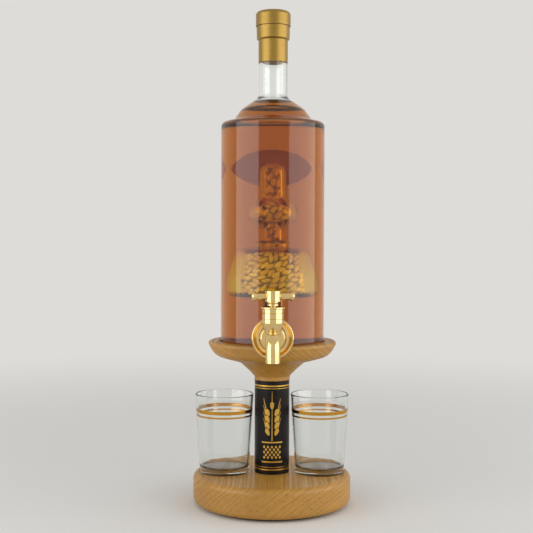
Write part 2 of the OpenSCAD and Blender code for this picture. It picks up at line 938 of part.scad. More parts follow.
module gland_packing() {
    color("#E8E4D8")
    on_valve() translate([0, 0, packing_low])
        ring(spindle_hole_r, well_r - fit_gap, packing_t);
}

module tap_plug() {
    color("#B88F3A")
    on_key() difference() {
        union() {
            translate([0, 0, plug_low + plug_foot_gap])
                cylinder(r = plug_r, h = well_floor - plug_low);
            translate([0, 0, plug_collar_low])
                cylinder(r = plug_collar_r, h = plug_collar_top - plug_collar_low);
            translate([0, 0, well_floor]) cylinder(r = spindle_r, h = spindle_top - well_floor);
        }
        rotate([0, 90, 0]) cylinder(d = port_d, h = 2 * plug_d, center = true);
        for (at = seal_heights)
            translate([0, 0, at - seal_r - fit_gap])
                ring(seal_at - seal_r - fit_gap, plug_r + cut, 2 * (seal_r + fit_gap));
    }
}

module plug_seals() {
    color("#161616")
    for (at = seal_heights)
        on_key() translate([0, 0, at]) rotate_extrude() translate([seal_at, 0]) circle(r = seal_r);
}

module handle_hub() {
    groove = hub_low - hub_neck_h / 3;
    color("#D9A93C")
    on_key() difference() {
        turned([
            [0, neck_low],
            [hub_neck_d / 2, neck_low, bold_edge_r],
            [hub_neck_d / 2, groove - 2 * groove_half_w],
            [hub_neck_d / 2 - groove_deep, groove],
            [hub_neck_d / 2, groove + 2 * groove_half_w],
            [hub_neck_d / 2, hub_low],
            [hub_d / 2, hub_low + edge_r, soft_edge_r],
            [hub_d / 2, hub_top, soft_edge_r],
            [0, hub_top]
        ]);
        translate([0, 0, neck_low - cut])
            cylinder(r = spindle_r + fit_gap, h = spindle_top - neck_low + cut + fit_gap);
        translate([0, 0, bar_at]) rotate([0, 90, 0])
            cylinder(r = bar_r + fit_gap, h = 2 * hub_d, center = true);
        translate([0, 0, grub_at]) rotate([-90, 0, 0]) cylinder(r = grub_r + fit_gap, h = hub_d);
    }
}

module handle_bar() {
    reach = bar_len / 2 - tip_len + tip_socket;
    color("#D9A93C")
    on_key() translate([0, 0, bar_at]) rotate([0, 90, 0])
        cylinder(r = bar_r, h = 2 * reach, center = true);
}

module handle_tips() {
    inner = bar_len / 2 - tip_len;
    color("#D9A93C")
    for (side = [0, 180])
        on_key() translate([0, 0, bar_at]) rotate([0, 90, side]) turned([
            [bar_r + fit_gap, inner],
            [tip_r, inner, edge_r],
            [tip_r, inner + tip_len, tip_round_r],
            [0, inner + tip_len],
            [0, inner + tip_socket + fit_gap],
            [bar_r + fit_gap, inner + tip_socket + fit_gap]
        ]);
}

module handle_screw() {
    inner = spindle_r + fit_gap;
    color("#8F8B82")
    on_key() translate([0, inner, grub_at]) rotate([-90, 0, 0])
        cylinder(r = grub_r, h = hub_neck_d / 2 - inner - fit_gap);
}

module shot_glass(side) {
    foot_r = glass_foot_d / 2;
    rim_r = glass_rim_d / 2;
    floor_r = foot_r + (rim_r - foot_r) * glass_floor / glass_h - glass_wall;
    color("#EEF4F6", 0.35)
    translate([side * glass_x, 0, glass_z]) turned([
        [0, 0],
        [foot_r, 0, glass_foot_r],
        [rim_r, glass_h, glass_rim_round],
        [rim_r - glass_wall, glass_h, glass_rim_round],
        [floor_r, glass_floor, glass_floor_r],
        [0, glass_floor]
    ]);
}

module left_glass() {
    shot_glass(-1);
}

module right_glass() {
    shot_glass(1);
}

base_disc();
base_felt();
base_screw();
column_dowel();
column_wrap();
bowl();
bowl_screw();
bottle_glass();
pot_still();
barley_fill();
still_bung();
whisky();
rear_label();
capsule_sleeve();
tap_bung();
tap_washer();
tap_rosette();
tap_body();
tap_bonnet();
gland_packing();
stopper_cork();
stopper_head();
capsule_top();
tap_plug();
plug_seals();
handle_hub();
handle_bar();
handle_tips();
handle_screw();
left_glass();
right_glass();
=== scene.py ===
"""Looks of a whisky decanter with a tap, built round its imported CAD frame.

Lengths are millimetres in the row frame, with +Z up and the tap towards -Y, unless a docstring says otherwise.
They become metres when a mesh is made.
"""

from __future__ import annotations

import json
import logging
import math
from abc import ABC, abstractmethod
from collections.abc import Callable, Iterable, Mapping, Sequence
from dataclasses import dataclass, field
from enum import Enum
from typing import Any

import bpy
import numpy as np
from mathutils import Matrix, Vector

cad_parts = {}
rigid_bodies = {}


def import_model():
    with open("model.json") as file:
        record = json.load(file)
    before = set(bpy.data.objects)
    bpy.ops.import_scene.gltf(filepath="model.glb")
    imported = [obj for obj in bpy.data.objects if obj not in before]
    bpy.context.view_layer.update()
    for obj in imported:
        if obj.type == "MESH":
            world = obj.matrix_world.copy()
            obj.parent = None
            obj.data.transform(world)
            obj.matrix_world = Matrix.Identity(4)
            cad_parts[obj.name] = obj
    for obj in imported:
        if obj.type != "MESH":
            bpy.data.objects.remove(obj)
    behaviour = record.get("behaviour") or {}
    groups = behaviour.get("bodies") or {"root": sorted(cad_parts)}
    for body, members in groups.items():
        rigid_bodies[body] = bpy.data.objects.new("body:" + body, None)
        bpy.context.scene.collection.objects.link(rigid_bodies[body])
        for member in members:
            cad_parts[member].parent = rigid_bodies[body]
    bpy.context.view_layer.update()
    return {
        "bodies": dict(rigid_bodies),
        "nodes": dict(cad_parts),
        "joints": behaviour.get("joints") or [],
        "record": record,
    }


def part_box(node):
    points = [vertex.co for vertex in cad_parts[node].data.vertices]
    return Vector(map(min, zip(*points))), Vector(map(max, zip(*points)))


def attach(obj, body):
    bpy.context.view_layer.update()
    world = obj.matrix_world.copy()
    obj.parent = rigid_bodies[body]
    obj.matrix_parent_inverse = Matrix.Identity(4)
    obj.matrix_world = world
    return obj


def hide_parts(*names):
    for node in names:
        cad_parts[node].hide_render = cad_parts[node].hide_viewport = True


MM = 0.001
# Faces round a turned shape.
TURN_STEPS = 192
# Scale at which a wave texture has one band in each unit of length.
WAVE_PERIOD = 2 * math.pi / 20

log = logging.getLogger("decanter")

Pair = tuple[float, float]
Triple = tuple[float, float, float]
Colour = tuple[float, float, float, float]
# A low and a high value, and what they become.
Range = tuple[float, float, float, float]
Outline = list[Pair]
Socket = bpy.types.NodeSocket


def linear(code: str) -> Colour:
    """Converts an sRGB hex colour to linear light.

    Args:
        code: Colour such as "#C08A3A".

    Returns:
        Red, green, blue and an alpha of 1.
    """
    parts = [int(code[i : i + 2], 16) / 255 for i in (1, 3, 5)]
    r, g, b = (c / 12.92 if c <= 0.04045 else ((c + 0.055) / 1.055) ** 2.4 for c in parts)
    return r, g, b, 1.0


@dataclass(frozen=True)
class Corner:
    """A corner of a turned wall's half outline, with its rounding.

    On a wall that stands off, the radius, the height and the rounding grow by out, up and swell times the distance.
    """

    radius: float
    height: float
    fillet: float = 0.0
    out: float = 1.0
    up: float = 0.0
    swell: float = 0.0

    def moved(self, off: float, foot: float) -> Triple:
        """Radius, height and rounding on a wall that stands off, with heights counted from a foot."""
        return (self.radius + self.out * off, foot + self.height + self.up * off, self.fillet + self.swell * off)


def rounded(corners: Iterable[Corner], off: float, foot: float = 0.0, steps: int = 10) -> Outline:
    """Half outline of a wall that stands off from the one with the given corners.

    Args:
        corners: Corners in order; one without a rounding stays sharp.
        off: Distance between the walls.
        foot: Height that the corners' heights are counted from.
        steps: Steps in each rounded corner.

    Returns:
        The outline's points in order.
    """
    points = [corner.moved(off, foot) for corner in corners]
    made: Outline = []
    for i, (r, z, fillet) in enumerate(points):
        if not fillet:
            made.append((r, z))
            continue
        here = np.array((r, z))
        u, v = (np.array(points[i + k][:2]) - here for k in (-1, 1))
        u, v = u / np.linalg.norm(u), v / np.linalg.norm(v)
        half = math.acos(float(np.clip(u @ v, -1, 1))) / 2
        mid = here + (u + v) / np.linalg.norm(u + v) * fillet / math.sin(half)
        start, end = (here + w * fillet / math.tan(half) - mid for w in (u, v))
        first = math.atan2(start[1], start[0])
        turn = math.atan2(start[0] * end[1] - start[1] * end[0], float(start @ end))
        for k in range(steps + 1):
            at = first + turn * k / steps
            made.append((float(mid[0] + fillet * math.cos(at)), float(mid[1] + fillet * math.sin(at))))
    return made


def stepped(outline: Outline, step: float = 0.5) -> np.ndarray:
    """Places at an even step along an outline.

    Args:
        outline: The outline's points.
        step: Distance between the places.

    Returns:
        The places, one row each.
    """
    points = np.array(outline)
    along = np.concatenate([[0.0], np.cumsum(np.linalg.norm(np.diff(points, axis=0), axis=1))])
    at = np.arange(0.0, along[-1], step)
    return np.stack([np.interp(at, along, points[:, i]) for i in (0, 1)], axis=1)


class Side(Enum):
    """The two places for a shot glass."""

    LEFT = "left"
    RIGHT = "right"


class Graph:
    """Adds shader nodes to the node tree of a material or a world."""

    def __init__(self, owner: bpy.types.Material | bpy.types.World) -> None:
        """Empties the owner's tree.

        Args:
            owner: The material or world that gets the nodes.
        """
        owner.use_nodes = True
        self.tree = owner.node_tree
        self.tree.nodes.clear()

    def add(self, kind: str, inputs: Mapping[str | int, Any] | Sequence[Any] = (), out: str | int = 0,
            **settings: Any) -> Socket | None:
        """Adds one node.

        Args:
            kind: The node's type, as Blender names it after "ShaderNode".
            inputs: Values, or sockets to link from, by the inputs' names or numbers, or in the inputs' order.
            out: Name or number of the output that is wanted.
            settings: Properties of the node; stops are the places and colours of a ramp.

        Returns:
            That output, or nothing for a node without one.
        """
        node = self.tree.nodes.new("ShaderNode" + kind)
        for place, code in settings.pop("stops", ()):
            ramp = node.color_ramp.elements
            stop = ramp[0] if place == 0 else ramp[-1] if place == 1 else ramp.new(place)
            stop.color = linear(code)
        for name, value in settings.items():
            setattr(node, name, value)
        for key, value in inputs.items() if isinstance(inputs, Mapping) else enumerate(inputs):
            if isinstance(value, Socket):
                self.tree.links.new(value, node.inputs[key])
            else:
                node.inputs[key].default_value = value
        return node.outputs[out] if len(node.outputs) else None


@dataclass(frozen=True)
class Finish(ABC):
    """A surface's look."""

    name: str

    def material(self) -> bpy.types.Material:
        """Makes the material.

        Returns:
            A new material with this finish's nodes.
        """
        made = bpy.data.materials.new(self.name)
        graph = Graph(made)
        sockets = {"Surface": self.shade(graph), "Volume": self.volume(graph)}
        graph.add("OutputMaterial", {name: socket for name, socket in sockets.items() if socket})
        return made

    def volume(self, graph: Graph) -> Socket | None:
        """Adds the nodes of what is under the surface, and gives their socket; most finishes have none."""
        return None

    def grain(self, graph: Graph, size: Triple, detail: float) -> Socket:
        """Adds a pattern of soft blotches.

        Args:
            graph: Where the nodes go.
            size: The blotches' size along x, y and z.
            detail: How many finer layers lie over them.

        Returns:
            The pattern, from 0 to 1.
        """
        place = graph.add("TexCoord", out="Object")
        lay = graph.add("Mapping", {"Vector": place, "Scale": tuple(1 / (s * MM) for s in size)})
        return graph.add("TexNoise", {"Vector": lay, "Scale": 1.0, "Detail": detail})

    @abstractmethod
    def shade(self, graph: Graph) -> Socket:
        """Adds the surface's nodes.

        Args:
            graph: Where the nodes go.

        Returns:
            The surface's socket.
        """


@dataclass(frozen=True)
class Oak(Finish):
    """Turned and oiled oak: soft growth rings about a pith line from front to back, pale rays and broken pores."""

    pith: Pair
    dark: str = "#A57529"
    early: str = "#B07F33"
    late: str = "#BB8B40"
    ray_colour: str = "#C4974E"
    pore: str = "#75501C"
    ring: float = 2.6
    ring_tones: Triple = (0.36, 0.5, 0.66)
    sway: Triple = (40.0, 260.0, 5.0)
    ray: Pair = (1.3, 14.0)
    pore_size: Triple = (0.55, 2.6, 10.0)
    pore_depth: float = 0.12
    tone_size: float = 45.0
    figured: Range = (0.38, 0.62, 0.3, 1.0)
    rayed: Range = (0.52, 0.74, 0.0, 0.6)
    crowded: Range = (0.36, 0.6, 0.7, 0.2)
    pitted: Range = (0.54, 0.68, 0.0, 1.0)
    shaded: Range = (0.3, 0.7, 0.86, 1.08)
    sheen: Range = (0.35, 0.65, 0.5, 0.36)

    def shade(self, graph: Graph) -> Socket:
        """Adds the rings, rays and pores.

        Args:
            graph: Where the nodes go.

        Returns:
            The surface's socket.
        """
        place = graph.add("TexCoord", out="Object")
        shift = (-self.pith[0] * MM, 0.0, -self.pith[1] * MM)
        flat = graph.add("Mapping", {"Vector": place, "Location": shift, "Scale": (1.0, 0.0, 1.0)})
        out = graph.add("VectorMath", (flat,), "Value", operation="LENGTH")
        wide, far, swing = self.sway
        sway = self.grain(graph, (wide, far, wide), 3.0)
        bent = graph.add("Math", (sway, swing * MM, out), operation="MULTIPLY_ADD")
        years = {"W": bent, "Scale": 2 / (self.ring * MM), "Detail": 2.0}
        rings = graph.add("TexNoise", years, noise_dimensions="1D")
        tone = self.grain(graph, (self.tone_size,) * 3, 2.0)
        patch = graph.add("MapRange", (tone, *self.figured))
        figure = graph.add("Mix", {0: patch, 2: 0.5, 3: rings}, data_type="FLOAT")
        low, mid, high = self.ring_tones
        stops = ((0, self.dark), (low, self.dark), (mid, self.early), (high, self.late), (1, self.late))
        wood = graph.add("ValToRGB", (figure,), stops=stops)

        away = math.hypot(*self.pith)
        way = graph.add("VectorMath", (flat,), operation="NORMALIZE")
        length = graph.add("Math", (bent, self.ray[1] * MM), operation="DIVIDE")
        spokes = {"Vector": way, "W": length, "Scale": 2 * away / self.ray[0], "Detail": 1.0}
        rays = graph.add("TexNoise", spokes, noise_dimensions="4D")
        ray_mask = graph.add("MapRange", (rays, *self.rayed))
        rayed = graph.add("Mix", {0: ray_mask, 6: wood, 7: linear(self.ray_colour)}, 2, data_type="RGBA")

        thick, round_ring, along = self.pore_size
        reach = away / round_ring
        fibre = graph.add("Mapping", {"Vector": place, "Scale": (0.0, 1 / (along * MM * reach), 0.0)})
        spots = graph.add("VectorMath", (way, fibre), operation="ADD")
        layers = graph.add("Math", (bent, thick * MM * reach), operation="DIVIDE")
        holes = {"Vector": spots, "W": layers, "Scale": reach, "Detail": 1.0}
        pores = graph.add("MapRange", (graph.add("TexNoise", holes, noise_dimensions="4D"), *self.pitted))
        crowd = graph.add("MapRange", (rings, *self.crowded))
        open_pores = graph.add("Math", (pores, crowd), operation="MULTIPLY")
        speckled = graph.add("Mix", {0: open_pores, 6: rayed, 7: linear(self.pore)}, 2, data_type="RGBA")

        level = graph.add("MapRange", (tone, *self.shaded))
        shown = graph.add("HueSaturation", {"Color": speckled, "Value": level})
        sheen = graph.add("MapRange", (rings, *self.sheen))
        depth = {"Height": open_pores, "Strength": 0.3, "Distance": self.pore_depth * MM}
        dents = graph.add("Bump", depth, invert=True)
        return graph.add("BsdfPrincipled", {"Base Color": shown, "Roughness": sheen, "Normal": dents})


@dataclass(frozen=True)
class SeeThrough(Finish):
    """A clear body with sharp reflections, which the lamps shine straight through so that its inside is lit."""

    tint: str = "#FFFFFF"
    index: float = 1.5
    mirror: float = 1.0

    def clear(self, graph: Graph, more: Mapping[str, Any]) -> Socket:
        """Adds the clear surface.

        Args:
            graph: Where the nodes go.
            more: Further inputs of its shader.

        Returns:
            The surface's socket.
        """
        mirror = (self.mirror, self.mirror, self.mirror, 1.0)
        look = {"Base Color": linear(self.tint), "Roughness": 0.0, "IOR": self.index, "Specular Tint": mirror}
        body = graph.add("BsdfPrincipled", {**look, "Transmission Weight": 1.0, **more})
        lamps = graph.add("LightPath", out="Is Shadow Ray")
        return graph.add("MixShader", (lamps, body, graph.add("BsdfTransparent", {"Color": linear(self.tint)})))


@dataclass(frozen=True)
class Clear(SeeThrough):
    """Clear blown glass: sharp reflections and refraction, with the slight unevenness of a blown wall."""

    tint: str = "#FBFDFC"
    wave: float = 26.0
    unevenness: float = 0.008

    def shade(self, graph: Graph) -> Socket:
        """Adds the glass and its unevenness.

        Args:
            graph: Where the nodes go.

        Returns:
            The surface's socket.
        """
        wave = self.grain(graph, (self.wave,) * 3, 1.0)
        uneven = graph.add("Bump", {"Height": wave, "Strength": self.unevenness, "Distance": 1.0 * MM})
        return self.clear(graph, {"Normal": uneven})


@dataclass(frozen=True)
class Spirit(SeeThrough):
    """Whisky: a clear liquid whose amber deepens with the length that light goes through it.

    The three rates are how much of red, green and blue is lost per metre.
    """

    index: float = 1.36
    mirror: float = 0.1
    absorb: Triple = (10.5, 29.5, 118.0)

    def shade(self, graph: Graph) -> Socket:
        """Adds the liquid's clear surface."""
        return self.clear(graph, {})

    def volume(self, graph: Graph) -> Socket:
        """Adds the depth of colour, whose density is a little over the highest rate so that no colour is nil.

        Args:
            graph: Where the nodes go.

        Returns:
            The volume's socket.
        """
        density = 1.02 * max(self.absorb)
        colour = (*(1 - a / density for a in self.absorb), 1.0)
        return graph.add("VolumeAbsorption", {"Color": colour, "Density": density})


@dataclass(frozen=True)
class Gilt(Finish):
    """Polished gilt brass: a mirror of deep yellow with faint wiping marks."""

    colour: str = "#E9CF97"
    worn: str = "#D8B874"
    gloss: Range = (0.35, 0.7, 0.05, 0.13)
    mark: float = 7.0

    def shade(self, graph: Graph) -> Socket:
        """Adds the metal and its marks.

        Args:
            graph: Where the nodes go.

        Returns:
            The surface's socket.
        """
        marks = self.grain(graph, (self.mark,) * 3, 5.0)
        gloss = graph.add("MapRange", (marks, *self.gloss))
        tone = graph.add("ValToRGB", (marks,), stops=((0, self.colour), (1, self.worn)))
        return graph.add("BsdfPrincipled", {"Base Color": tone, "Metallic": 1.0, "Roughness": gloss})


@dataclass(frozen=True)
class Film(Finish):
    """Gold shrink film: a satin metal skin with fine level creases under a thin clear lacquer, with the creases'
    hollows painted in a darker gold as shade.
    """

    colour: str = "#A8893C"
    # Darker gold of the creases' hollows: painted shade.
    painted_crease_shade: str = "#906E24"
    gloss: float = 0.42
    crease: Pair = (9.0, 0.7)
    depth: float = 0.12
    lacquer: float = 0.5

    def shade(self, graph: Graph) -> Socket:
        """Adds the metal, its creases and its lacquer.

        Args:
            graph: Where the nodes go.

        Returns:
            The surface's socket.
        """
        wide, high = self.crease
        creases = self.grain(graph, (wide, wide, high), 3.0)
        # The creases' hollows take the darker gold: painted shade.
        tone = graph.add("ValToRGB", (creases,), stops=((0, self.painted_crease_shade), (1, self.colour)))
        relief = graph.add("Bump", {"Height": creases, "Strength": 0.35, "Distance": self.depth * MM})
        skin = {"Base Color": tone, "Metallic": 1.0, "Roughness": self.gloss, "Normal": relief}
        return graph.add("BsdfPrincipled", {**skin, "Coat Weight": self.lacquer, "Coat Roughness": 0.3})


@dataclass(frozen=True)
class Speckle(Finish):
    """A plain solid whose two tones and small relief come from one grain, such as rubber, felt or cork."""

    light: str
    dark: str
    size: Triple
    rough: float
    relief: float
    metal: float = 0.0
    fuzz: float = 0.0
    gleam: float = 0.5
    spread: Pair = (0.35, 0.65)

    def shade(self, graph: Graph) -> Socket:
        """Adds the two tones and the relief.

        Args:
            graph: Where the nodes go.

        Returns:
            The surface's socket.
        """
        grain = self.grain(graph, self.size, 4.0)
        spread = graph.add("MapRange", (grain, *self.spread))
        tone = graph.add("ValToRGB", (spread,), stops=((0, self.dark), (1, self.light)))
        relief = graph.add("Bump", {"Height": grain, "Strength": 0.5, "Distance": self.relief * MM})
        look = {"Base Color": tone, "Metallic": self.metal, "Roughness": self.rough, "Normal": relief}
        more = {"Sheen Weight": self.fuzz, "Specular IOR Level": self.gleam}
        return graph.add("BsdfPrincipled", {**look, **more})


@dataclass(frozen=True)
class Husk(Finish):
    """Dry barley: straw-gold husks, each grain of its own tone, ribbed from end to end, and darker at the tips:
    partly real browning, partly painted shade where grains meet.
    """

    pale: str = "#F4E2A0"
    deep: str = "#DDB867"
    rib: str = "#B48C3C"
    # Brown of the grains' tips: partly real browning, partly painted shade where grains meet.
    tip: str = "#7A5220"
    ribs: float = 5.0
    ribbed: Range = (0.35, 0.0, 0.0, 0.5)
    tips_browned_and_shaded: Range = (0.26, 0.5, 0.0, 0.85)

    def shade(self, graph: Graph) -> Socket:
        """Adds the tones, the ribs and the tips.

        Args:
            graph: Where the nodes go.

        Returns:
            The surface's socket.
        """
        tone = graph.add("Attribute", out="Fac", attribute_name=Shape.TONE)
        husk = graph.add("ValToRGB", (tone,), stops=((0, self.deep), (1, self.pale)))
        place = graph.add("UVMap", uv_map=Shape.WRAP)
        bands = {"Vector": place, "Scale": self.ribs * WAVE_PERIOD, "Distortion": 0.6}
        ribs = graph.add("TexWave", bands, "Fac", wave_type="BANDS", bands_direction="X")
        dark = graph.add("MapRange", (ribs, *self.ribbed))
        ribbed = graph.add("Mix", {0: dark, 6: husk, 7: linear(self.rib)}, 2, data_type="RGBA")
        # Each grain darkens towards both ends: partly real browning, partly painted shade in the gaps between
        # grains.
        along = graph.add("SeparateXYZ", (place,), 1)
        off = graph.add("Math", (along, 0.5), operation="SUBTRACT")
        tip_brown_and_shade = graph.add("MapRange", (graph.add("Math", (off,), operation="ABSOLUTE"), *self.tips_browned_and_shaded))
        shown = graph.add("Mix", {0: tip_brown_and_shade, 6: ribbed, 7: linear(self.tip)}, 2, data_type="RGBA")
        return graph.add("BsdfPrincipled", {"Base Color": shown, "Roughness": 0.5})


@dataclass(frozen=True)
class Label(Finish):
    """Thin cream paper that lets some light through, with no print but a gold ring on its face.

    The ring's two edges are shares of the label's radius.
    """

    centre: Pair
    radius: float
    ring: Pair | None = None
    paper: str = "#F0DFB8"
    fibre: str = "#E2CE9F"
    fibre_size: float = 1.2
    ring_colour: str = "#B48A3A"
    thinness: float = 0.65

    def shade(self, graph: Graph) -> Socket:
        """Adds the paper, and the ring if there is one.

        Args:
            graph: Where the nodes go.

        Returns:
            The surface's socket.
        """
        fibres = self.grain(graph, (self.fibre_size,) * 3, 4.0)
        shown = graph.add("ValToRGB", (fibres,), stops=((0, self.fibre), (1, self.paper)))
        if self.ring:
            place = graph.add("TexCoord", out="Object")
            across, up = (-c / self.radius for c in self.centre)
            scale = 1 / (self.radius * MM)
            span = {"Vector": place, "Location": (across, 0.0, up), "Scale": (scale, 0.0, scale)}
            out = graph.add("VectorMath", (graph.add("Mapping", span),), "Value", operation="LENGTH")
            mid, half = sum(self.ring) / 2, (self.ring[1] - self.ring[0]) / 2
            ring = graph.add("Math", (out, mid, half), operation="COMPARE")
            shown = graph.add("Mix", {0: ring, 6: shown, 7: linear(self.ring_colour)}, 2, data_type="RGBA")
        look = {"Base Color": shown, "Roughness": 0.9, "Transmission Weight": self.thinness}
        return graph.add("BsdfPrincipled", look)


OAK_BASE = Oak("oak_base", pith=(113.0, -130.0))
OAK_BOWL = Oak("oak_bowl", pith=(-120.0, -30.0))
OAK_DOWEL = Oak("oak_dowel", pith=(60.0, 20.0))
GLASS = Clear("blown_glass")
THIN_GLASS = Clear("lampworked_glass", wave=14.0, unevenness=0.015)
# Glass under the whisky mirrors nothing there: the liquid's own surface does.
WET_GLASS = Clear("wetted_glass", mirror=0.0)
WET_THIN_GLASS = Clear("wetted_lampworked_glass", wave=14.0, unevenness=0.015, mirror=0.0)
PRESSED_GLASS = Clear("shot_glass", wave=30.0, unevenness=0.006)
WHISKY = Spirit("whisky")
GILT = Gilt("gilt_brass")
FILM = Film("gold_film")
# Stamped foil: a bright thin gold with no lacquer, with painted shade in the hollows of its creases.
FOIL = Film(
    "gold_foil", colour="#DDB355", painted_crease_shade="#C4953B", gloss=0.24, crease=(3.0, 3.0), depth=0.03, lacquer=0.0
)
# Fired gilding: a deeper gold, a little dulled by the kiln.
BANDING = Gilt("fired_gilding", colour="#D6A23A", worn="#BF8526", gloss=(0.35, 0.7, 0.14, 0.24), mark=4.0)
HUSKS = Husk("barley")
# Fibres and grit finer than about half a millimetre are drawn that coarse, so that they show.
# Varnished paper sleeve: near black, with a soft gleam.
WRAP = Speckle("satin_wrap", "#160F0D", "#0B0706", (0.8, 0.8, 0.8), 0.3, 0.02, gleam=0.2)
# Moulded rubber: dull and dark.
RUBBER = Speckle("black_rubber", "#2A2828", "#171616", (1.5, 1.5, 1.5), 0.55, 0.05)
# Pressed felt: dark green, fuzzy and without gloss.
FELT = Speckle("green_felt", "#2C3A30", "#182019", (0.5, 0.5, 0.5), 0.95, 0.3, fuzz=0.4)
# Natural cork: warm tan with darker flecks.
CORK = Speckle("cork", "#C89A62", "#8A5D32", (2.2, 2.2, 1.6), 0.8, 0.2)
# Pressed packing: waxy off-white.
PACKING = Speckle("packing", "#EAE6DA", "#D8D2C2", (0.6, 0.6, 0.6), 0.6, 0.05)
# Moulded plastic: dark brown with a low sheen.
PLASTIC = Speckle("stopper_plastic", "#332921", "#241C17", (1.0, 1.0, 1.0), 0.45, 0.03)
# Zinc plated steel: a grey metal with drawn streaks.
STEEL = Speckle("zinc_steel", "#BDBAB3", "#98958E", (0.4, 0.4, 3.0), 0.32, 0.03, metal=1.0)


@dataclass
class Shape:
    """Points, faces and, where a finish reads them, tones and wrap coordinates of a mesh."""

    TONE = "tone"
    WRAP = "wrap"

    points: list[Triple] = field(default_factory=list)
    faces: list[tuple[int, ...]] = field(default_factory=list)
    tones: list[float] = field(default_factory=list)
    wraps: list[Pair] = field(default_factory=list)

    def join(self, points: Iterable[Sequence[float]], faces: Iterable[Sequence[int]]) -> None:
        """Adds points and the faces among them.

        Args:
            points: New points.
            faces: Faces as numbers into the new points.
        """
        first = len(self.points)
        self.points += [(float(p[0]), float(p[1]), float(p[2])) for p in points]
        self.faces += [tuple(first + i for i in f) for f in faces]

    @classmethod
    def turned(cls, outline: Outline, centre: Pair = (0.0, 0.0), closed: bool = False) -> Shape:
        """Turns an outline about a vertical line.

        Args:
            outline: Points as (radius, height); a radius of 0 is one point on the line.
            centre: Where the line stands.
            closed: Whether the outline's last point joins its first.

        Returns:
            The turned shape.
        """
        made = cls()
        rows: list[list[int]] = []
        for r, z in outline:
            count = TURN_STEPS if r > 1e-6 else 1
            rows.append([len(made.points) + k for k in range(count)])
            turns = (2 * math.pi * k / TURN_STEPS for k in range(count))
            made.points += [(centre[0] + r * math.cos(t), centre[1] + r * math.sin(t), z) for t in turns]
        for low, high in zip(rows, rows[1:] + rows[:1] if closed else rows[1:]):
            for k in range(TURN_STEPS):
                n = (k + 1) % TURN_STEPS
                ring = (low[k % len(low)], low[n % len(low)], high[n % len(high)], high[k % len(high)])
                face = tuple(dict.fromkeys(ring))
                if len(face) > 2:
                    made.faces.append(face)
        return made

    def volume(self) -> float:
        """Volume inside the faces.

        Returns:
            Cubic millimetres, which are negative if the faces look inwards.
        """
        places = np.array(self.points)
        fans = np.array([(f[0], f[k], f[k + 1]) for f in self.faces for k in range(1, len(f) - 1)])
        a, b, c = (places[fans[:, i]] for i in range(3))
        return float((a * np.cross(b, c)).sum() / 6)

    def mesh(self, name: str, smooth: float) -> bpy.types.Mesh:
        """Makes the mesh in metres.

        Args:
            name: The mesh's name.
            smooth: Edges that turn by more than this many degrees stay sharp.

        Returns:
            The mesh.
        """
        made = bpy.data.meshes.new(name)
        made.from_pydata([tuple(c * MM for c in p) for p in self.points], [], self.faces)
        made.validate()
        if self.volume() < 0:
            made.flip_normals()
        made.shade_smooth()
        made.set_sharp_from_angle(angle=math.radians(smooth))
        if self.tones:
            made.attributes.new(self.TONE, "FLOAT", "POINT").data.foreach_set("value", self.tones)
        if self.wraps:
            layer = made.uv_layers.new(name=self.WRAP)
            for loop in made.loops:
                layer.data[loop.index].uv = self.wraps[loop.vertex_index]
        return made


@dataclass
class Bench:
    """The loaded frame and the materials made so far."""

    frame: dict[str, Any]
    made: dict[Finish, bpy.types.Material] = field(default_factory=dict)

    def material(self, finish: Finish) -> bpy.types.Material:
        """Finds or makes a finish's material.

        Args:
            finish: The finish.

        Returns:
            Its material.
        """
        if finish not in self.made:
            self.made[finish] = finish.material()
        return self.made[finish]

    def dress(self, finish: Finish, *nodes: str) -> None:
        """Gives CAD nodes a finish.

        Args:
            finish: The finish.
            nodes: Names of the nodes.
        """
        for name in nodes:
            mesh = self.frame["nodes"][name].data
            mesh.materials.clear()
            mesh.materials.append(self.material(finish))
            log.info("dressed %s in %s", name, finish.name)

    def patch(self, node: str, finish: Finish, test: Callable[[np.ndarray], np.ndarray]) -> None:
        """Gives some faces of a dressed CAD node a finish of their own.

        Args:
            node: The node's name.
            finish: The finish of those faces.
            test: Says which of the faces get it, from their middles.
        """
        mesh = self.frame["nodes"][node].data
        mesh.materials.append(self.material(finish))
        middles = np.empty(3 * len(mesh.polygons))
        mesh.polygons.foreach_get("center", middles)
        chosen = test(middles.reshape(-1, 3) / MM)
        mesh.polygons.foreach_set("material_index", chosen.astype(np.int32))
        log.info("dressed %d faces of %s in %s", int(chosen.sum()), node, finish.name)

    def add(self, name: str, shape: Shape, finish: Finish, body: str, slot: str, stands_for: Sequence[str] = (),
            smooth: float = 40.0) -> None:
        """Makes a piece and seats it on its body.

        Args:
            name: The piece's name.
            shape: Its shape.
            finish: Its finish.
            body: The CAD body that it rides on.
            slot: The record's material slot; not used.
            stands_for: CAD nodes that it is shown in place of.
            smooth: Edges that turn by more than this many degrees stay sharp.
        """
        piece = bpy.data.objects.new(name, shape.mesh(name, smooth))
        piece.data.materials.append(self.material(finish))
        bpy.context.scene.collection.objects.link(piece)
        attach(piece, body)
        if stands_for:
            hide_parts(*stands_for)
        log.info("built %s: %d faces", name, len(piece.data.polygons))


def box(node: str) -> tuple[np.ndarray, np.ndarray]:
    """Lowest and highest corner of a CAD node in millimetres."""
    low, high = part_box(node)
    return np.array(low) / MM, np.array(high) / MM


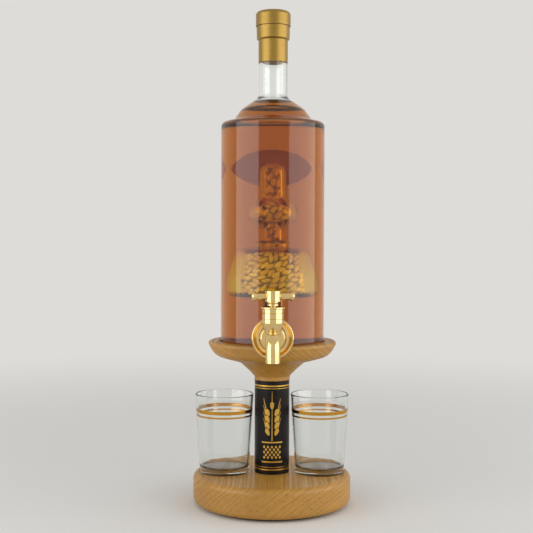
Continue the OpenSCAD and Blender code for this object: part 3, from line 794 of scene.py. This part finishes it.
@dataclass
class Stand:
    """The oak base and bowl, with the wrapped column and its foil ornament between them.

    Rings and bars of foil are each a distance, from the column's near end or its foot, and a width.
    """

    body: str = "stand"
    foil_lift: float = 0.04
    foil_width: float = 19.0
    foil_step: float = 1.2
    rings: tuple[Pair, ...] = ((4.2, 1.2), (6.4, 0.5))
    bars: tuple[Pair, ...] = ((28.0, 1.2), (11.0, 1.2))
    ear_z: float = 34.0
    kernel: Pair = (3.4, 6.6)
    kernel_rim: int = 16
    kernel_taper: float = 0.25
    kernel_pairs: int = 4
    kernel_step: float = 0.86
    kernel_out: float = 2.6
    kernel_lean: float = 24.0
    awn: Pair = (0.6, 9.0)
    awn_from: float = 1.04
    awn_lean: float = 0.6
    stem: Pair = (1.0, 4.5)
    lozenge_z: float = 15.0
    lozenge: Pair = (2.2, 2.9)
    lozenge_pitch: float = 3.5
    lozenge_step: float = 0.78
    lozenge_rows: tuple[int, ...] = (5, 4, 5, 4, 5)
    radius: float = field(init=False)

    def build(self, bench: Bench) -> None:
        """Dresses the stand and lays the column's foil.

        Args:
            bench: Where the pieces are made.
        """
        bench.dress(OAK_BASE, "base_disc")
        bench.dress(OAK_BOWL, "bowl")
        bench.dress(OAK_DOWEL, "column_dowel")
        bench.dress(FELT, "base_felt")
        bench.dress(STEEL, "base_screw", "bowl_screw")
        bench.dress(WRAP, "column_wrap")
        low, high = box("column_wrap")
        self.radius = high[0]
        bench.add("column_rules", self.rules(low[2], high[2]), FOIL, self.body, "gilt_film")
        bench.add("column_ear", self.ear(low[2] + self.ear_z), FOIL, self.body, "gilt_film")
        bench.add("column_lozenges", self.lozenges(low[2] + self.lozenge_z), FOIL, self.body, "gilt_film")

    def foil(self, shape: Shape, rim: Sequence[Pair]) -> None:
        """Lays one piece of foil on the column.

        Args:
            shape: The shape that it joins.
            rim: The foil's edge, as distances round the column from the middle of its front, and heights.
        """
        n = len(rim)
        middle = (sum(u for u, _ in rim) / n, sum(v for _, v in rim) / n)
        points = []
        for lift in (0.0, self.foil_lift):
            r = self.radius + lift
            points += [(r * math.sin(u / self.radius), -r * math.cos(u / self.radius), v) for u, v in (*rim, middle)]
        top = n + 1
        faces: list[tuple[int, ...]] = []
        for k in range(n):
            after = (k + 1) % n
            faces += [(n, after, k), (top + n, top + k, top + after), (k, after, top + after, top + k)]
        shape.join(points, faces)

    def rules(self, low: float, high: float) -> Shape:
        """Level foil rules: two rings at each end of the column, and a short bar over and under the lozenges.

        Args:
            low: Height of the column's foot.
            high: Height of the column's top.

        Returns:
            The rules.
        """
        made = Shape()
        whole = 2 * math.pi * self.radius
        rows = [(high - far, width, whole) for far, width in self.rings]
        rows += [(low + far, width, whole) for far, width in self.rings]
        rows += [(low + far, width, self.foil_width) for far, width in self.bars]
        for middle, width, length in rows:
            tiles = int(length / self.foil_step)
            for k in range(tiles):
                left, right = (length * (i / tiles - 0.5) for i in (k, k + 1))
                under, over = middle - width / 2, middle + width / 2
                self.foil(made, [(left, under), (right, under), (right, over), (left, over)])
        return made

    def lozenges(self, low: float) -> Shape:
        """Staggered rows of small foil lozenges.

        Args:
            low: Height of the lowest row's middle.

        Returns:
            The lozenges.
        """
        made = Shape()
        wide, tall = self.lozenge
        for row, count in enumerate(self.lozenge_rows):
            for k in range(count):
                u, v = (k - (count - 1) / 2) * self.lozenge_pitch, low + row * tall * self.lozenge_step
                self.foil(made, [(u - wide / 2, v), (u, v - tall / 2), (u + wide / 2, v), (u, v + tall / 2)])
        return made

    def ear(self, foot: float) -> Shape:
        """Foil ear of barley: a stem, paired kernels that lean out, and an awn on each kernel.

        Args:
            foot: Height of the lowest kernels' foot.

        Returns:
            The ear.
        """
        made = Shape()
        wide, tall = self.kernel
        step = tall * self.kernel_step
        top = foot + self.kernel_pairs * step
        spots = [(0.0, top, 0.0)]
        for k in range(self.kernel_pairs):
            spots += [(side * self.kernel_out, foot + k * step, side * self.kernel_lean) for side in (-1, 1)]
        half, reach = self.awn[0] / 2, self.awn[1]
        for across, low, lean in spots:
            turn = math.radians(lean)
            rise = (math.sin(turn), math.cos(turn))
            rim = []
            for k in range(self.kernel_rim):
                t = 2 * math.pi * k / self.kernel_rim
                u = wide / 2 * math.sin(t) * (1 - self.kernel_taper * math.cos(t))
                v = tall / 2 * (1 - math.cos(t))
                rim.append((across + u * rise[1] + v * rise[0], low - u * rise[0] + v * rise[1]))
            self.foil(made, rim)
            tip_u, tip_v = across + tall * rise[0] * self.awn_from, low + tall * rise[1] * self.awn_from
            end_u = tip_u + reach * math.sin(turn * self.awn_lean)
            end_v = tip_v + reach * math.cos(turn * self.awn_lean)
            ends = [(end_u + half / 2, end_v), (end_u - half / 2, end_v)]
            self.foil(made, [(tip_u - half, tip_v), (tip_u + half, tip_v), *ends])
        half, length = self.stem[0] / 2, self.stem[1]
        self.foil(made, [(-half, foot - length), (half, foot - length), (half / 2, top), (-half / 2, top)])
        return made


@dataclass
class Still:
    """The pot still figure: its floor is a height above the bottle's underside, and its corners are its inside's.

    Under the floor's own height, what is nearer to the axis than the stem is the floor.
    """

    wall: float = 1.0
    stem_r: float = 9.0
    pot_z: float = 45.5
    floor_h: float = 10.0
    corners: tuple[Corner, ...] = (
        Corner(0.0, 0.0, out=0.0, up=-1.0),
        Corner(28.9, 0.0, 5.0, up=-1.0, swell=1.0),  # the pot
        Corner(28.9, 16.5, 40.0),
        Corner(23.0, 39.5, 7.0, up=0.5, swell=1.0),
        Corner(10.5, 41.5, 0.3, up=1.0),  # the collar
        Corner(10.5, 46.0, 1.4, up=1.0, swell=1.0),
        Corner(6.7, 47.0, 2.6, up=1.0, swell=-1.0),  # the throat
        Corner(6.7, 58.5, 4.0, up=-0.5, swell=-1.0),
        Corner(15.25, 66.5, 9.3, up=-0.5, swell=1.0),  # the bulb
        Corner(15.25, 76.3, 9.3, up=0.5, swell=1.0),
        Corner(7.9, 84.3, 4.0, up=0.5, swell=-1.0),  # the spire
        Corner(7.2, 113.3, 6.7, up=1.0, swell=1.0),
        Corner(0.0, 113.3, out=0.0, up=1.0),
    )

    def outline(self, room: float) -> Outline:
        """Half outline at a distance out from the figure's inside, as heights above the bottle's underside."""
        return rounded(self.corners, room, self.pot_z)


@dataclass
class Bottle:
    """The blown bottle with its figure, its whisky, its label and its capsule.

    Corners are its inside's, and they and the fill are heights above its underside. The whisky bites a little into
    the glass, and creeps up the wall over a width and a height.
    """

    still: Still
    body: str = "bottle"
    corners: tuple[Corner, ...] = (
        Corner(9.0, 4.0, out=-1.0, up=-1.0),  # the figure's stem
        Corner(42.0, 4.0, 3.0, up=-1.0),  # the wall
        Corner(42.0, 193.0, 1.5, up=1.0),
        Corner(33.5, 195.5, 8.0, out=0.5, up=1.0),  # the shoulder
        Corner(26.5, 205.0, 12.0, out=0.5, up=1.0),
        Corner(9.25, 217.0, 6.0, up=1.0),  # the neck
        Corner(9.25, 224.0),
    )
    fill: float = 211.5
    bite: float = 0.15
    creep: Pair = (2.4, 1.3)
    creep_steps: int = 8
    near: float = 0.8
    ring: Pair = (0.84, 0.9)
    paper: float = 0.1
    foot: float = field(init=False)

    def build(self, bench: Bench) -> None:
        """Dresses the glass and pours the whisky.

        Args:
            bench: Where the pieces are made.
        """
        low, _ = box("bottle_glass")
        self.foot = low[2]
        bench.dress(GLASS, "bottle_glass")
        bench.patch("bottle_glass", WET_GLASS, self.inside)
        bench.dress(THIN_GLASS, "pot_still")
        bench.patch("pot_still", WET_THIN_GLASS, self.outside)
        bench.dress(RUBBER, "still_bung", "tap_bung", "tap_washer")
        bench.dress(FILM, "capsule_sleeve")
        low, high = box("rear_label")
        middle, half = (low + high) / 2, (high - low) / 2
        centre = (middle[0], middle[2])
        bench.dress(Label("label_back", centre, half[0]), "rear_label")
        face = Label("label_face", centre, half[0], self.ring)
        bench.patch("rear_label", face, lambda spots: np.hypot(spots[:, 0], spots[:, 1]) > high[1] - self.paper)
        bench.add("whisky_pour", self.pour(), WHISKY, self.body, "whisky", ["whisky"], smooth=50.0)

    def hollow(self, bite: float) -> Outline:
        """Half outline at a distance out from the bottle's inside, from the figure's stem to the neck."""
        return rounded(self.corners, bite)

    def gap(self, places: np.ndarray, outline: Outline) -> np.ndarray:
        """Distance of places from a turned outline.

        Args:
            places: Points in the row frame.
            outline: The outline, as heights above the bottle's underside.

        Returns:
            Each point's distance.
        """
        flat = np.stack([np.hypot(places[:, 0], places[:, 1]), places[:, 2] - self.foot], axis=1)
        return np.min([np.linalg.norm(flat - p, axis=1) for p in stepped(outline)], axis=0)

    def inside(self, middles: np.ndarray) -> np.ndarray:
        """Which of the bottle's faces, given by their middles, are on its inside and under the whisky."""
        sunk = middles[:, 2] - self.foot < self.fill + self.creep[1]
        return (self.gap(middles, self.hollow(0.0)) < self.near) & sunk

    def outside(self, middles: np.ndarray) -> np.ndarray:
        """Which of the figure's faces, given by their middles, are on its outside, in the whisky."""
        inner, outer = (self.gap(middles, self.still.outline(room)) for room in (0.0, self.still.wall))
        return (outer < inner) | (middles[:, 2] - self.foot < self.still.pot_z - self.still.wall)

    def pour(self) -> Shape:
        """The whisky, which bites a little into the glass so that no air shows between them.

        Returns:
            The whisky's shape.
        """
        stem = self.still.stem_r - self.bite
        figure = reversed(self.still.outline(self.still.wall - self.bite))
        above_floor = self.still.pot_z + self.still.floor_h
        inside = [(r, z) for r, z in figure if r > stem or z > above_floor]
        wall = self.hollow(self.bite)
        reach, rise = self.creep
        brim = self.fill + rise
        slope = [(r, z) for r, z in wall if z < brim]
        (low_r, low_z), (high_r, high_z) = slope[-1], wall[len(slope)]
        edge = low_r + (brim - low_z) / (high_z - low_z) * (high_r - low_r)
        steps = self.creep_steps
        top = [(edge - reach * k / steps, self.fill + rise * math.exp(-k / 2)) for k in range(steps + 1)]
        outline = inside + [(stem, inside[-1][1])] + slope + top + [(0.0, self.fill)]
        return Shape.turned([(r, z + self.foot) for r, z in outline])


@dataclass
class Barley:
    """Loose grains that fill the pot still figure: one layer flat against the glass, and more behind it.

    A bead or a probe is a place along a grain, and how thick the grain is there.
    """

    still: Still
    body: str = "bottle"
    length: float = 9.4
    width: float = 4.1
    thick: float = 3.3
    inset: float = 0.1
    floor_gap: float = 1.0
    cover: float = 0.84
    seat: float = 0.55
    tries: int = 16
    lean: Pair = (24.0, 32.0)
    narrow: float = 10.0
    narrow_lean: Pair = (68.0, 18.0)
    behind: int = 380
    behind_tries: int = 4000
    behind_from: float = 1.2
    layer: float = 8.5
    seed: int = 11
    sweeps: int = 160
    quick_sweeps: int = 30
    beads: tuple[Pair, ...] = ((-0.4, 0.5), (-0.22, 0.86), (0.0, 1.0), (0.22, 0.86), (0.4, 0.5))
    bead_size: float = 0.47
    pair_reach: float = 1.05
    pair_sweeps: int = 6
    push: float = 0.25
    push_limit: float = 0.7
    pull_in: float = 0.3
    pull_out: float = 0.35
    vary: Triple = (0.05, 0.88, 1.1)
    probes: tuple[Pair, ...] = ((-0.97, 0.15), (-0.5, 0.8), (0.0, 1.0), (0.5, 0.8), (0.97, 0.15))
    roll: float = 0.3
    flipped: float = 0.4
    sides: int = 10
    stations: int = 9
    tip: float = 0.92
    blunt: float = 0.72
    taper: float = 0.1
    crease: float = 0.66
    wall: np.ndarray = field(init=False)
    way: np.ndarray = field(init=False)
    inward: np.ndarray = field(init=False)

    def build(self, bench: Bench) -> None:
        """Packs the grains against the figure's glass.

        Args:
            bench: Where the pieces are made.
        """
        low, _ = box("bottle_glass")
        self.walk(stepped(self.still.outline(-self.inset)) + (0.0, low[2]))
        rng = np.random.default_rng(self.seed)
        middles, lines, outer = self.scatter(rng)
        middles, lines = self.settle(middles, lines, outer, self.sweeps)
        shape = Shape()
        for middle, line in zip(middles, lines):
            self.grain(shape, rng, middle, line)
        bench.add("barley_grains", shape, HUSKS, self.body, "barley", ["barley_fill"], smooth=80.0)

    def walk(self, outline: np.ndarray) -> None:
        """Keeps the wall's points, each with its direction along the wall and inward.

        Args:
            outline: The cavity's half outline at a fine step.
        """
        self.wall = outline
        way = np.gradient(outline, axis=0)
        self.way = way / np.linalg.norm(way, axis=1, keepdims=True)
        self.inward = np.stack([-self.way[:, 1], self.way[:, 0]], axis=1)

    def depth(self, places: np.ndarray) -> tuple[np.ndarray, np.ndarray]:
        """Depth of places behind the wall.

        Args:
            places: Points in the row frame.

        Returns:
            Each point's depth, and the inward direction there.
        """
        out = np.hypot(places[:, 0], places[:, 1])
        flat = np.stack([out, places[:, 2]], axis=1)
        near = np.argmin(((flat[:, None, :] - self.wall[None]) ** 2).sum(axis=2), axis=1)
        inward = self.inward[near]
        deep = ((flat - self.wall[near]) * inward).sum(axis=1)
        spoke = places[:, :2] / np.maximum(out, 1e-6)[:, None]
        return deep, np.concatenate([spoke * inward[:, :1], inward[:, 1:]], axis=1)

    def scatter(self, rng: np.random.Generator) -> tuple[np.ndarray, np.ndarray, np.ndarray]:
        """First places of the grains.

        Args:
            rng: Seeded source of chance.

        Returns:
            The grains' middles, their directions, and which of them lie against the glass.
        """
        off_floor = self.wall[:, 1] > self.wall[0, 1] + self.floor_gap
        share = self.wall[:, 0] * off_floor
        area = 2 * math.pi * share.sum() * float(np.linalg.norm(self.wall[1] - self.wall[0]))
        count = int(self.cover * area / (math.pi / 4 * self.length * self.width))
        found, lines = np.empty((0, 3)), np.empty((0, 3))
        while len(found) < count:
            spots = rng.choice(len(self.wall), self.tries, p=share / share.sum())
            turns = rng.uniform(0.0, 2 * math.pi, self.tries)
            flat = self.wall[spots] + self.inward[spots] * self.thick * self.seat
            tries = np.stack([flat[:, 0] * np.cos(turns), flat[:, 0] * np.sin(turns), flat[:, 1]], axis=1)
            room = np.linalg.norm(tries[:, None] - found[None], axis=2).min(axis=1, initial=1e3)
            best = int(np.argmax(room))
            lean = math.radians(rng.normal(*self.lean))
            if self.wall[spots[best], 0] < self.narrow:
                lean = math.radians(rng.normal(*self.narrow_lean))
            spoke = np.array([math.cos(turns[best]), math.sin(turns[best]), 0.0])
            level = np.array([-spoke[1], spoke[0], 0.0])
            rise = spoke * self.way[spots[best], 0] + np.array([0.0, 0.0, self.way[spots[best], 1]])
            found = np.vstack([found, tries[best]])
            lines = np.vstack([lines, level * math.cos(lean) + rise * math.sin(lean)])
        low, high = self.wall.min(axis=0), self.wall.max(axis=0)
        behind = np.empty((0, 3))
        while len(behind) < self.behind:
            tries = rng.uniform((-high[0], -high[0], low[1]), (high[0], high[0], high[1]), (self.behind_tries, 3))
            deep, _ = self.depth(tries)
            behind = np.vstack([behind, tries[(deep > self.thick * self.behind_from) & (deep < self.layer)]])
        behind = behind[: self.behind]
        any_way = rng.normal(size=behind.shape)
        any_way /= np.linalg.norm(any_way, axis=1, keepdims=True)
        outer = np.arange(count + self.behind) < count
        return np.vstack([found, behind]), np.vstack([lines, any_way]), outer

    def settle(self, middle: np.ndarray, line: np.ndarray, outer: np.ndarray,
               sweeps: int) -> tuple[np.ndarray, np.ndarray]:
        """Pushes grains, each a row of beads, out of one another and off the wall.

        Args:
            middle: The grains' middles.
            line: Their directions.
            outer: Which of them lie against the glass.
            sweeps: Rounds of pushing.

        Returns:
            The grains' middles and their directions.
        """
        spots = np.array([b[0] for b in self.beads]) * self.length
        size = np.array([b[1] for b in self.beads]) * self.width * self.bead_size
        flat = size * self.thick / self.width
        row = np.arange(len(size))
        a, b = (grid.ravel() for grid in np.meshgrid(row, row))
        least = (size[a] + size[b])[None]
        held = np.repeat(outer, len(size))
        pairs = np.empty((2, 0), int)
        for sweep in range(sweeps):
            beads = middle[:, None] + line[:, None] * spots[None, :, None]
            if sweep % self.pair_sweeps == 0:
                gap = np.linalg.norm(middle[:, None] - middle[None], axis=2)
                pairs = np.array(np.nonzero(np.triu(gap < self.length * self.pair_reach, 1)))
            apart = beads[pairs[0]][:, a] - beads[pairs[1]][:, b]
            gap = np.maximum(np.linalg.norm(apart, axis=2), 1e-6)
            shove = apart * (np.maximum(least - gap, 0.0) / gap * self.push)[:, :, None]
            moved = np.zeros_like(beads)
            np.add.at(moved, (pairs[0][:, None], a[None]), shove)
            np.add.at(moved, (pairs[1][:, None], b[None]), -shove)
            beads += np.clip(moved, -self.push_limit, self.push_limit)
            deep, inward = self.depth(beads.reshape(-1, 3))
            wanted = np.tile(flat, len(beads)) - deep
            loose = np.maximum(wanted, 0.0) - np.maximum(deep - self.layer, 0.0) * self.pull_in
            back = np.where(held, np.where(wanted > 0, wanted, wanted * self.pull_out), loose)
            beads += (inward * back[:, None]).reshape(beads.shape)
            middle = beads.mean(axis=1)
            line = ((beads - middle[:, None]) * spots[None, :, None]).sum(axis=1)
            line /= np.linalg.norm(line, axis=1, keepdims=True)
        return middle, line

    def grain(self, shape: Shape, rng: np.random.Generator, middle: np.ndarray, line: np.ndarray) -> None:
        """Adds one grain, flat side to the wall, drawn in where its tips would meet the glass.

        Args:
            shape: The shape that it joins.
            rng: Seeded source of chance.
            middle: The grain's middle.
            line: Its direction.
        """
        spread, least, most = self.vary
        sizes = np.array([self.length, self.width, self.thick]) / 2
        long, wide, thick = sizes * rng.normal(1.0, spread, 3).clip(least, most)
        at, share = np.array(self.probes).T
        deep, inward = self.depth(middle + np.outer(at, line) * long)
        short = float(np.max(share * thick - deep))
        up = inward[2] - line * (inward[2] @ line)
        up = up / max(float(np.linalg.norm(up)), 1e-6)
        middle = middle + up * max(short, 0.0)
        roll = rng.normal(0.0, self.roll) + (math.pi if rng.uniform() < self.flipped else 0.0)
        side = np.cross(line, up)
        across, over = side * math.cos(roll) + up * math.sin(roll), up * math.cos(roll) - side * math.sin(roll)
        tone = float(rng.uniform())
        n = self.sides
        points, wraps = [middle - line * long], [(0.5, 0.0)]
        for s in range(self.stations):
            t = -self.tip + 2 * self.tip * s / (self.stations - 1)
            swell = math.cos(t * math.pi / 2) ** self.blunt * (1 - self.taper * t)
            for k in range(n):
                turn = 2 * math.pi * (k + 0.5) / n
                crease = self.crease if k == (3 * n) // 4 else 1.0
                points.append(
                    middle + line * long * t + across * wide * swell * math.cos(turn)
                    + over * thick * swell * math.sin(turn) * crease
                )
                wraps.append((k / n, (t + 1) / 2))
        points.append(middle + line * long)
        wraps.append((0.5, 1.0))
        faces = [(0, 1 + (k + 1) % n, 1 + k) for k in range(n)]
        row = 1
        for _ in range(self.stations - 1):
            faces += [(row + k, row + (k + 1) % n, row + n + (k + 1) % n, row + n + k) for k in range(n)]
            row += n
        faces += [(row + k, row + (k + 1) % n, row + n) for k in range(n)]
        shape.join(points, faces)
        shape.tones += [tone] * len(points)
        shape.wraps += wraps


@dataclass
class Stopper:
    """The cork with its head under gold film."""

    def build(self, bench: Bench) -> None:
        """Dresses the stopper.

        Args:
            bench: Where the pieces are made.
        """
        bench.dress(CORK, "stopper_cork")
        bench.dress(PLASTIC, "stopper_head")
        bench.dress(FILM, "capsule_top")


@dataclass
class Tap:
    """The gilt tap and its key."""

    def build(self, bench: Bench) -> None:
        """Dresses the tap.

        Args:
            bench: Where the pieces are made.
        """
        bench.dress(GILT, "tap_rosette", "tap_body", "tap_bonnet", "tap_plug")
        bench.dress(GILT, "handle_hub", "handle_bar", "handle_tips")
        bench.dress(PACKING, "gland_packing")
        bench.dress(RUBBER, "plug_seals")
        bench.dress(STEEL, "handle_screw")


@dataclass
class ShotGlass:
    """A tapered glass with a wide and a narrow gilt band near its rim, each between two heights in the row frame."""

    side: Side
    bands: tuple[Pair, ...] = ((80.4, 83.4), (76.9, 78.4))
    skin: float = 0.05
    taper: float = 4.2
    foot: float = field(init=False)
    rim: float = field(init=False)
    rim_r: float = field(init=False)

    def build(self, bench: Bench) -> None:
        """Dresses the glass and lays its bands.

        Args:
            bench: Where the pieces are made.
        """
        name = self.side.value
        bench.dress(PRESSED_GLASS, f"{name}_glass")
        low, high = box(f"{name}_glass")
        middle = ((low[0] + high[0]) / 2, (low[1] + high[1]) / 2)
        self.foot, self.rim = low[2], high[2]
        self.rim_r = (high[0] - low[0]) / 2
        for kind, (bottom, top) in zip(("band", "line"), self.bands):
            corners = ((-1, bottom), (1, bottom), (1, top), (-1, top))
            outline = [(self.radius(z) + way * self.skin, z) for way, z in corners]
            shape = Shape.turned(outline, middle, closed=True)
            bench.add(f"{name}_{kind}", shape, BANDING, f"{name}_shot_glass", "gilt_film")

    def radius(self, height: float) -> float:
        """Outside radius of the glass at a height in the row frame."""
        return self.rim_r - self.taper * (self.rim - height) / (self.rim - self.foot)


@dataclass(frozen=True)
class Softbox:
    """A lamp panel that stands round the object, with its size and its place in metres.

    Its turn is measured in degrees from the camera's side, positive to the right.
    """

    name: str
    turn: float
    width: float
    height: float
    level: float
    distance: float = 1.0
    rise: float = 0.38


@dataclass
class Studio:
    """A pale floor that fades into a pale backdrop, two tall softboxes and the camera.

    The fade starts and ends at distances in metres.
    """

    backdrop: str = "#DEDCD8"
    floor: str = "#E8E6E2"
    floor_rings: tuple[float, ...] = (0.0, 400.0, 1200.0, 4000.0)
    floor_gap: float = 0.05
    fade: Pair = (0.2, 1.2)
    ambient: float = 0.56
    bounces: int = 28
    lamps: tuple[Softbox, ...] = (
        Softbox("softbox_left", -59.0, 1.06, 0.8, 2.1),
        Softbox("softbox_right", 70.0, 1.4, 0.8, 1.9),
    )
    eye: Triple = (-5.3, -872.0, 232.2)
    pitch: float = -1.65
    roll: float = -0.18
    lens: float = 67.4
    sensor: float = 36.0

    def build(self) -> None:
        """Sets the world, the floor, the lamps and the camera."""
        scene = bpy.context.scene
        scene.view_settings.view_transform = "Standard"
        light = scene.cycles
        light.max_bounces = light.transmission_bounces = light.transparent_max_bounces = self.bounces
        light.caustics_reflective = False
        self.world(scene)
        self.ground(scene)
        for lamp in self.lamps:
            self.hang(scene, lamp)
        camera = bpy.data.cameras.new("camera")
        camera.lens = self.lens
        camera.sensor_width = self.sensor
        eye = bpy.data.objects.new("camera", camera)
        eye.location = [c * MM for c in self.eye]
        eye.rotation_euler = (math.radians(90 + self.pitch), math.radians(self.roll), 0.0)
        scene.collection.objects.link(eye)
        scene.camera = eye

    def seen(self, graph: Graph) -> Socket:
        """Adds a mask of the rays that show the background: from the camera, and by way of metal or glass.

        Args:
            graph: Where the nodes go.

        Returns:
            The mask.
        """
        path = graph.add("LightPath").node.outputs
        straight = graph.add("Math", (path["Is Camera Ray"], path["Is Glossy Ray"]), operation="MAXIMUM")
        return graph.add("Math", (straight, path["Is Transmission Ray"]), operation="MAXIMUM")

    def world(self, scene: bpy.types.Scene) -> None:
        """Makes the pale surroundings.

        Args:
            scene: The scene.
        """
        scene.world = bpy.data.worlds.new("surroundings")
        graph = Graph(scene.world)
        light = graph.add("Background", {"Color": (1.0, 1.0, 1.0, 1.0), "Strength": self.ambient})
        shown = graph.add("Background", {"Color": linear(self.backdrop), "Strength": 1.0})
        graph.add("OutputWorld", {"Surface": graph.add("MixShader", (self.seen(graph), light, shown))})

    def ground(self, scene: bpy.types.Scene) -> None:
        """Makes the floor, which keeps the shadow near the object and fades into the backdrop further out.

        Args:
            scene: The scene.
        """
        paint = bpy.data.materials.new("pale_floor")
        graph = Graph(paint)
        place = graph.add("TexCoord", out="Object")
        out = graph.add("VectorMath", (place,), "Value", operation="LENGTH")
        fade = graph.add("MapRange", (out, *self.fade), interpolation_type="SMOOTHSTEP")
        share = graph.add("Math", (fade, self.seen(graph)), operation="MULTIPLY")
        matt = graph.add("BsdfDiffuse", {"Color": linear(self.floor)})
        far = graph.add("Emission", {"Color": linear(self.backdrop), "Strength": 1.0})
        graph.add("OutputMaterial", {"Surface": graph.add("MixShader", (share, matt, far))})
        shape = Shape.turned([(r, 0.0) for r in self.floor_rings])
        floor = bpy.data.objects.new("floor", shape.mesh("floor", 40.0))
        floor.data.materials.append(paint)
        floor.location.z = -self.floor_gap * MM
        scene.collection.objects.link(floor)

    def hang(self, scene: bpy.types.Scene, lamp: Softbox) -> None:
        """Hangs a softbox that faces the object.

        Args:
            scene: The scene.
            lamp: The softbox.
        """
        light = bpy.data.lights.new(lamp.name, "AREA")
        light.shape = "RECTANGLE"
        light.size, light.size_y = lamp.width, lamp.height
        light.energy = lamp.level * math.pi * lamp.width * lamp.height
        turn = math.radians(lamp.turn)
        panel = bpy.data.objects.new(lamp.name, light)
        panel.location = (lamp.distance * math.sin(turn), -lamp.distance * math.cos(turn), lamp.rise)
        panel.rotation_euler = (math.radians(90), 0.0, turn)
        panel.visible_camera = False
        scene.collection.objects.link(panel)


def main() -> None:
    """Builds the looks and the studio."""
    logging.basicConfig(level=logging.INFO, format="%(message)s")
    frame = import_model()
    bench = Bench(frame)
    still = Still()
    parts = (Stand(), Bottle(still), Barley(still), Stopper(), Tap(), ShotGlass(Side.LEFT), ShotGlass(Side.RIGHT))
    for part in parts:
        part.build(bench)
    Studio().build()


if __name__ == "__main__":
    main()
